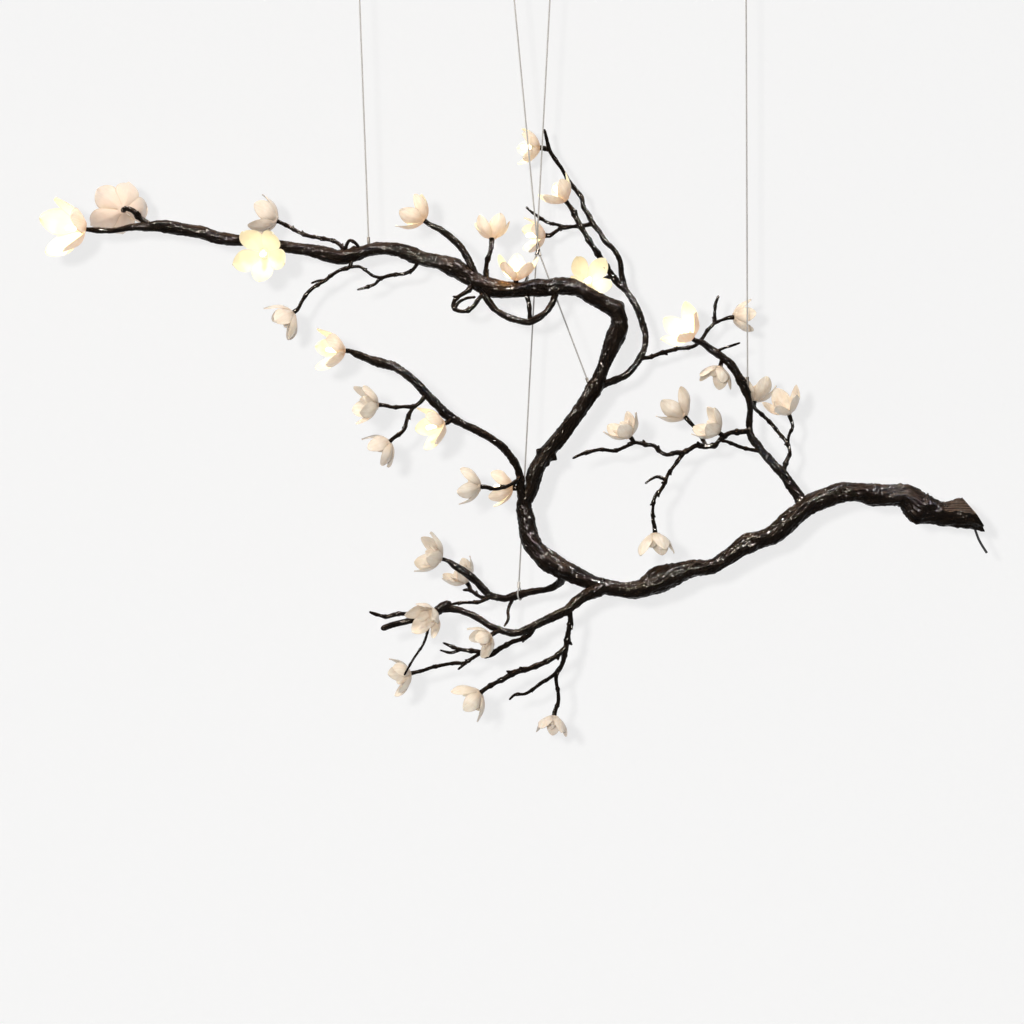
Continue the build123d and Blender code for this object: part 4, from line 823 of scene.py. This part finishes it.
def nodeSwell(along, thick, pitch):    # r = r0 (1 + swell exp(-(d / r0)^2)), d away from the nearest node
    away = np.abs((along + pitch * 0.5) % pitch - pitch * 0.5)
    rise = np.clip((along - thick * 2) / (thick * 2), 0, 1)
    fall = np.clip((along[-1] - along - budLook["swellEnd"]) / budLook["swellFade"], 0, 1)
    return 1 + budLook["swell"] * np.exp(-(away / thick) ** 2) * (rise * fall)


def budRoutes(centres, radii, along, pitch, rng):    # a short bud leans out at every node of a twig
    tangents, sides, ups = carriedFrames(centres)
    routes = []
    for spot in np.arange(pitch, along[-1] - budLook["bareEnd"], pitch):
        row = np.searchsorted(along, spot)
        turn = rng.uniform(0, 2 * np.pi)
        outward = sides[row] * math.cos(turn) + ups[row] * math.sin(turn)
        way = outward * budLook["lean"] + tangents[row] * (1 - budLook["lean"]) * 2
        length = 2 * radii[row] * budLook["length"] * rng.uniform(*budLook["lengthDraw"])
        thick = 2 * radii[row] * budLook["thickness"]
        foot = centres[row] - hang
        routes.append([(*(foot + way * length * reach), thick * share) for reach, share in budLook["steps"]])
    return routes


def bearsBuds(route):
    return max(p[3] for p in route) <= limbLook["twigMost"] and len(route) >= limbLook["fewestPoints"]


def buildLimbs():
    byNode = {}
    for index, (node, flower, route) in enumerate((limbTable | curlTable).values()):
        byNode.setdefault(node, []).append((index, flower, stemRoute(flower, route)))
    for node, members in byNode.items():
        buds, pitches = [], {}
        for index, flower, route in members:
            if bearsBuds(route):
                rng = np.random.default_rng(limbLook["nodeSeed"] + index)
                centres, radii, along, _ = smoothRoute(route, barkLook["twig"]["spacing"])
                pitches[index] = rng.uniform(*budLook["pitch"])
                buds += [(limbLook["budIndex"] + index, 0, bud)
                         for bud in budRoutes(centres, radii, along, pitches[index], rng)]
        tubes, count = [], 0
        for index, flower, route in members + buds:
            isBud = index >= limbLook["budIndex"]
            thickest = max(p[3] for p in route)
            look = barkLook["bough" if thickest > limbLook["boughLeast"] else "bud" if isBud else "twig"]
            centres, radii, along, _ = smoothRoute(route, look["spacing"])
            flare = 1 + limbLook["flare"] * np.exp(-along / (radii[0] * limbLook["flareReach"]))
            if index in pitches:
                flare = flare * nodeSwell(along, radii.mean(), pitches[index])
            seed = limbLook["barkSeed"] + index
            grid, _, space, ridge = barkSurface(centres, radii * flare, along, look, seed)
            if not flower:
                grid = roundedTip(grid, centres, along)
            flat, faces, ends = closedTube(grid, count)
            marks = {"barkSpace": paddedSpace(space), "ridge": paddedMark(ridge, 0, 0),
                     "sawn": np.zeros(len(flat))}
            tubes.append((flat, faces, ends, marks))
            count += len(flat)
        newPiece(node, "_bark", tubes, finish["bark"])
    return len(byNode)


buildTrunk()
print("trunk cast:", len(castingTable), "castings;", buildLimbs(), "boughs and twig groups")

# Petals: walls, least sizes, foot and vein step in millimetres, leanSpread in degrees, the rest are shares
petalLook = {"rows": 32, "columns": 40, "wall": 2.2, "rim": 0.7, "leanSpread": 7.0, "lengthSpread": 0.07,
             "lengthDraw": (-1, 0.3), "leanDraw": (-1, 0.5), "phaseDraw": (0, 6.3),
             "ruffle": 0.018, "waves": (2.6, 5), "cup": 1.0, "open": 0.6, "lap": 0.12, "tipCurl": 0.05,
             "curlFrom": 0.7, "share": 0.74, "halfWidth": 0.365, "widthSpread": 0.05, "parting": 0.45,
             "ovalPower": 0.58, "leastWidth": 0.4, "blend": 8, "leastCurve": 9, "thinning": 0.55,
             "rib": 0.014, "ribWidth": 0.16, "turnSpread": 0.06, "rimBand": 0.46, "veinStep": 40.0,
             "foot": (6.5, 1.0), "bend": (10.0, 0.48, 0.17), "tip": (9.0, 0.55, 0.78),
             "seed": 100, "crease": 75}
# Some blossoms are open so far that their petals part lower down
partedWidth = {2: 0.34, 4: 0.3, 18: 0.31}
# The outer ring of petals, and the small inner ring of the blossoms without a lamp
whorls = {"outer": {"count": 5, "length": 1.0, "narrow": 1.0, "turn": 0.0},
          "inner": {"count": 4, "length": 0.74, "narrow": 0.62, "turn": 0.5}}


def petalOutline(u, out, petal, halfWidth):
    # the petals lap low down and part above: a smooth minimum of share r and an oval tip
    look = petalLook
    joined = look["share"] * out
    past = np.clip((u - look["parting"]) / (1 - look["parting"]), 0, 1)
    oval = np.maximum(halfWidth * petal * (1 - past ** 2) ** look["ovalPower"], look["leastWidth"])
    return (joined ** -look["blend"] + oval ** -look["blend"]) ** (-1 / look["blend"])


def petalGrid(petal, halfWidth, whorl, rng):
    # u runs from hub to tip on a quadratic Bezier, v = cos(a) runs across, sin(a) is the outer or inner wall
    look = petalLook
    u = 1 - (1 - np.linspace(0, 1, look["rows"])[:, None]) ** 2
    a = np.linspace(2 * np.pi, 0, look["columns"], endpoint=False)[None, :]
    v, wall = np.cos(a), np.sin(a)
    foot = np.array(look["foot"])
    inner = np.broadcast_to(wall < 0, (look["rows"], look["columns"]))
    shapes = []
    for k in range(whorl["count"]):
        longer = look["lengthSpread"] * rng.uniform(*look["lengthDraw"])
        size = petal * whorl["length"] * (1 + longer)
        lean = math.radians(rng.uniform(*look["leanDraw"]) * look["leanSpread"])
        bend, tip = (np.array(((start + share * size) * whorl["narrow"], rise * size))
                     for start, share, rise in (look["bend"], look["tip"]))
        line = ((1 - u)[..., None] ** 2 * foot + 2 * (u * (1 - u))[..., None] * bend
                + (u ** 2)[..., None] * tip)
        out, rise = line[..., 0], line[..., 1]
        width = petalOutline(u, out, size, halfWidth) * (1 + look["widthSpread"] * rng.uniform(-1, 1))
        curl = np.clip((u - look["curlFrom"]) / (1 - look["curlFrom"]), 0, 1) ** 2
        out = out + look["tipCurl"] * size * curl
        out, rise = (out * math.cos(lean) + rise * math.sin(lean),
                     rise * math.cos(lean) - out * math.sin(lean))
        slopeOut, slopeRise = np.gradient(out, axis=0), np.gradient(rise, axis=0)
        length = np.hypot(slopeOut, slopeRise)
        normalOut, normalRise = slopeRise / length, -slopeOut / length
        curve = np.maximum(out, look["leastCurve"]) * (look["cup"] + look["open"] * u ** 2)
        across = width * v
        lateral = curve * np.sin(across / curve)
        inward = curve * (1 - np.cos(across / curve))
        phase = look["waves"][0] * v + look["waves"][1] * u + rng.uniform(*look["phaseDraw"])
        wave = look["ruffle"] * petal * np.sin(phase) * u ** 2
        crown = np.sqrt(np.clip(1 - v ** 2, 0, 1))
        fullness = crown * (1 - look["thinning"] * u)
        thick = look["rim"] + (look["wall"] - look["rim"]) * fullness
        rib = look["rib"] * petal * np.exp(-(v / look["ribWidth"]) ** 2) * np.sin(np.pi * u)
        offset = wall * thick / 2 - inward + wave + rib + look["lap"] * width * v * u
        x, z, y = out + normalOut * offset, rise + normalRise * offset, lateral
        spread = look["turnSpread"]
        turn = 2 * np.pi / whorl["count"] * k + whorl["turn"] + rng.uniform(-spread, spread)
        cosine, sine = math.cos(turn), math.sin(turn)
        grid = np.stack([x * cosine - y * sine, x * sine + y * cosine, z], -1)
        step = np.full(across.shape, look["veinStep"] * k)
        space = np.stack([across, np.broadcast_to(u * size, across.shape), step], -1)
        rim = np.broadcast_to(np.clip(1 - crown / look["rimBand"], 0, 1), across.shape)
        shapes.append((grid, np.broadcast_to(u, across.shape), inner, rim, space))
    return shapes


# How strongly a lit blossom glows; the other lit ones take glowCommon
glowTable = {1: 1.0, 2: 0.25, 4: 0.22, 15: 0.8, 18: 0.25, 19: 1.0}
glowCommon = 0.45
# Blossoms given painted shade: their glaze is mixed this far towards a dusky grey
paintedShadeTable = {2: 0.62, 3: 0.35, 5: 0.35, 8: 0.4, 34: 0.3}
# The hub's profile: radius and height in millimetres; above the cup line it belongs to the inside, and in a
# lit cup it takes the inside's painted glow
hubLook = {"columns": 32, "cupLine": 4.5,
           "profile": [(0.01, 0.0), (7.5, 0.0), (9.4, 0.5), (10.4, 2.2), (10.8, 4.4), (9.6, 5.6), (7.4, 5.2),
                       (0.01, 5.0)]}


def hubGrid():    # the hub is a profile turned about the blossom's axis
    angle = np.linspace(0, 2 * np.pi, hubLook["columns"], endpoint=False)[None, :]
    radius, height = (np.array(c)[:, None] for c in zip(*hubLook["profile"]))
    rise = np.broadcast_to(height, (len(height), hubLook["columns"]))
    grid = np.stack([radius * np.cos(angle), radius * np.sin(angle), rise], -1)
    seen = np.broadcast_to(height > hubLook["cupLine"], grid.shape[:2])
    return grid, np.zeros(grid.shape[:2]), seen, np.zeros(grid.shape[:2]), grid


def buildBlossoms():
    sprayOf = {number: "blossoms" + "".join(f"_{member:02d}" for member in spray)
               for spray in sprays for number in spray}
    groups = {}
    for number in blossomTable:
        groups.setdefault(sprayOf.get(number, f"blossom_{number:02d}"), []).append(number)
    pieces = []
    for node, numbers in groups.items():
        tubes, count = [], 0
        for number in numbers:
            base, facing, first, second = flowerFrame(number)
            petal, lit = blossomTable[number][2], blossomTable[number][4]
            rng = np.random.default_rng(petalLook["seed"] + number)
            halfWidth = partedWidth.get(number, petalLook["halfWidth"])
            shapes = [hubGrid()] + petalGrid(petal, halfWidth, whorls["outer"], rng)
            if not lit:
                shapes += petalGrid(petal, halfWidth, whorls["inner"], rng)
            for grid, along, inside, rim, space in shapes:
                flat, faces, ends = closedTube(grid, count)
                marks = {"petalAlong": paddedMark(np.asarray(along, float), 0, float(along[-1, 0])),
                         "petalInside": paddedMark(np.asarray(inside, float), 0, 0.5),
                         "petalRim": paddedMark(rim, 0, 1), "petalSpace": paddedSpace(space),
                         "petalGlow": np.full(len(flat), glowTable.get(number, glowCommon)),
                         "petalPaintedShade": np.full(len(flat), paintedShadeTable.get(number, 0.0))}
                placed = base + flat[:, :1] * first + flat[:, 1:2] * second + flat[:, 2:] * facing
                tubes.append((placed, faces, ends, marks))
                count += len(flat)
        pieces.append(newPiece(node, "_petals", tubes, finish["litPetal" if lit else "petal"],
                               petalLook["crease"]))
    return pieces


petalPieces = buildBlossoms()
print("blossoms glazed:", len(petalPieces), "nodes")

# Kept solids get their finish; those above the picture's edge keep their shadow off the wall
keptFinish = {"ceiling_cups": "cupSteel", "cup_collars": "cupSteel", "ball_terminals": "cupSteel",
              "cable_studs": "darkSteel", "bridle_joint": "darkSteel", "crimp_ferrule": "cable",
              "lamp_holders": "holder", "led_lamps": "lamp", "cord_gland": "lead", "wiring_loom": "wire"}
for name, key in keptFinish.items():
    nodes[name].data.materials.clear()
    nodes[name].data.materials.append(finish[key])
    if key == "cupSteel":
        nodes[name].visible_shadow = False
for name, piece in cables.items():
    piece.data.materials.append(finish["lead" if name == "supply_cord" else "cable"])

# Stage: a pale wall close behind the branch and a pale floor far below it
stageSetup = {"wallDepth": 0.36, "floorHeight": -3.4, "reach": 14.0, "floorReach": 4.5, "tone": 0.913,
              "shadowShare": 0.3, "glow": 1.155}


def sightRays(tree):    # 1 for rays that see the background: straight, through glass or in a gloss
    path = tree.nodes.new("ShaderNodeLightPath")
    straight, seen = (tree.nodes.new("ShaderNodeMath") for _ in range(2))
    straight.operation = seen.operation = "MAXIMUM"
    tree.links.new(path.outputs["Is Camera Ray"], straight.inputs[0])
    tree.links.new(path.outputs["Is Transmission Ray"], straight.inputs[1])
    tree.links.new(straight.outputs[0], seen.inputs[0])
    tree.links.new(path.outputs["Is Glossy Ray"], seen.inputs[1])
    return seen.outputs[0]


def stagePlane(name, corners):
    mesh = bpy.data.meshes.new(name)
    mesh.from_pydata(corners, [], [(0, 1, 2, 3)])
    plane = bpy.data.objects.new(name, mesh)
    scene.collection.objects.link(plane)
    material = bpy.data.materials.new(name + "Paint")
    material.use_nodes = True
    tree = material.node_tree
    tree.nodes.clear()
    paint, glow, share, blend, behind, clear, final, out = (tree.nodes.new("ShaderNode" + kind) for kind in (
        "BsdfDiffuse", "Emission", "Math", "MixShader", "NewGeometry", "BsdfTransparent", "MixShader",
        "OutputMaterial"))
    for node in (paint, glow):
        node.inputs["Color"].default_value = (*[stageSetup["tone"]] * 3, 1)
    glow.inputs["Strength"].default_value = stageSetup["glow"]
    share.operation = "MULTIPLY"
    share.inputs[1].default_value = 1 - stageSetup["shadowShare"]
    for source, target in ((sightRays(tree), share.inputs[0]), (share.outputs[0], blend.inputs[0]),
                           (paint.outputs[0], blend.inputs[1]), (glow.outputs[0], blend.inputs[2]),
                           (behind.outputs["Backfacing"], final.inputs[0]),
                           (blend.outputs[0], final.inputs[1]), (clear.outputs[0], final.inputs[2]),
                           (final.outputs[0], out.inputs["Surface"])):
        tree.links.new(source, target)
    mesh.materials.append(material)
    return plane


far, wall, low = stageSetup["reach"], stageSetup["wallDepth"], stageSetup["floorHeight"]
backWall = stagePlane("backWall", [(-far, wall, low), (far, wall, low), (far, wall, far), (-far, wall, far)])
near = stageSetup["floorReach"]
floor = stagePlane("floor", [(-near, -near, low), (near, -near, low), (near, near, low), (-near, near, low)])


def sparedPieces(name, pieces):    # pieces that a lamp leaves out
    spared = bpy.data.collections.new(name)
    for piece in pieces:
        spared.objects.link(piece)
    for member in spared.collection_objects:
        member.light_linking.link_state = "EXCLUDE"
    return spared


spared = {"stage": sparedPieces("sparedStage", [backWall, floor]),
          "pale": sparedPieces("sparedPale", [backWall, floor] + petalPieces + list(cables.values()))}
# A lamp as far off as the camera throws the wall's shadow, a broad lamp lights the tops, a weak one
# fills the lower left, four small lamps only spark in the bronze, and one leaks out of a blossom
# Each has its kind, place, aim, spread, power, colour, what it lights and what it spares
lightSetup = {
    "key": ("AREA", (-0.85, -9.98, -0.62), (0, 0, -1.0), 0.36, 440, (1, 0.985, 0.965), "surface", None),
    "top": ("AREA", (-0.8, -1.7, 1.5), (0, 0, -1.0), 0.4, 80, (1, 0.93, 0.84), "surface", "stage"),
    "fill": ("AREA", (-0.75, -1.25, -1.6), (-0.2, 0, -1.25), 0.3, 2.6, (1, 0.96, 0.91), "surface", "stage"),
    "sparkLeft": ("AREA", (-1.0, -2.4, 0.9), (0, 0, -1.0), 0.25, 750, (1, 0.89, 0.76), "gloss", "pale"),
    "sparkRight": ("AREA", (1.3, -2.2, 1.0), (0.2, 0, -1.1), 0.2, 900, (1, 0.95, 0.89), "gloss", "pale"),
    "sparkTop": ("AREA", (0.5, -1.2, 2.0), (0.3, 0, -1.0), 0.25, 420, (1, 0.93, 0.84), "gloss", "pale"),
    "sparkSide": ("AREA", (-2.8, -2.6, 0.0), (0, 0, -1.2), 0.25, 420, (1, 0.93, 0.84), "gloss", "pale"),
    "leak": ("POINT", (-0.012, -0.062, -0.618), (0, 0, -1.0), 0.004, 0.12, (1, 0.72, 0.36), "both", None),
}
for name, (kind, place, aim, spread, power, colour, lights, spares) in lightSetup.items():
    data = bpy.data.lights.new(name, kind)
    setattr(data, {"AREA": "size", "POINT": "shadow_soft_size"}[kind], spread)
    data.energy = power
    data.color = colour
    lamp = bpy.data.objects.new(name, data)
    lamp.location = place
    lamp.visible_camera = False
    lamp.visible_glossy = lights != "surface"
    lamp.visible_diffuse = lights != "gloss"
    toward = np.array(aim) - np.array(place)
    lamp.rotation_euler = (math.acos(-unit(toward)[2]), 0, math.atan2(-toward[0], toward[1]))
    scene.collection.objects.link(lamp)
    if spares:
        lamp.light_linking.receiver_collection = spared[spares]

# The room lights the branch weakly and is seen bright
worldSetup = {"light": 0.2, "seen": 0.95, "colour": (0.96, 0.957, 0.95, 1)}
world = bpy.data.worlds.new("studio")
world.use_nodes = True
tree = world.node_tree
room = tree.nodes["Background"]
room.inputs["Color"].default_value = worldSetup["colour"]
level = tree.nodes.new("ShaderNodeMapRange")
level.inputs["To Min"].default_value = worldSetup["light"]
level.inputs["To Max"].default_value = worldSetup["seen"]
tree.links.new(sightRays(tree), level.inputs["Value"])
tree.links.new(level.outputs["Result"], room.inputs["Strength"])
scene.world = world
print("stage and lights set")
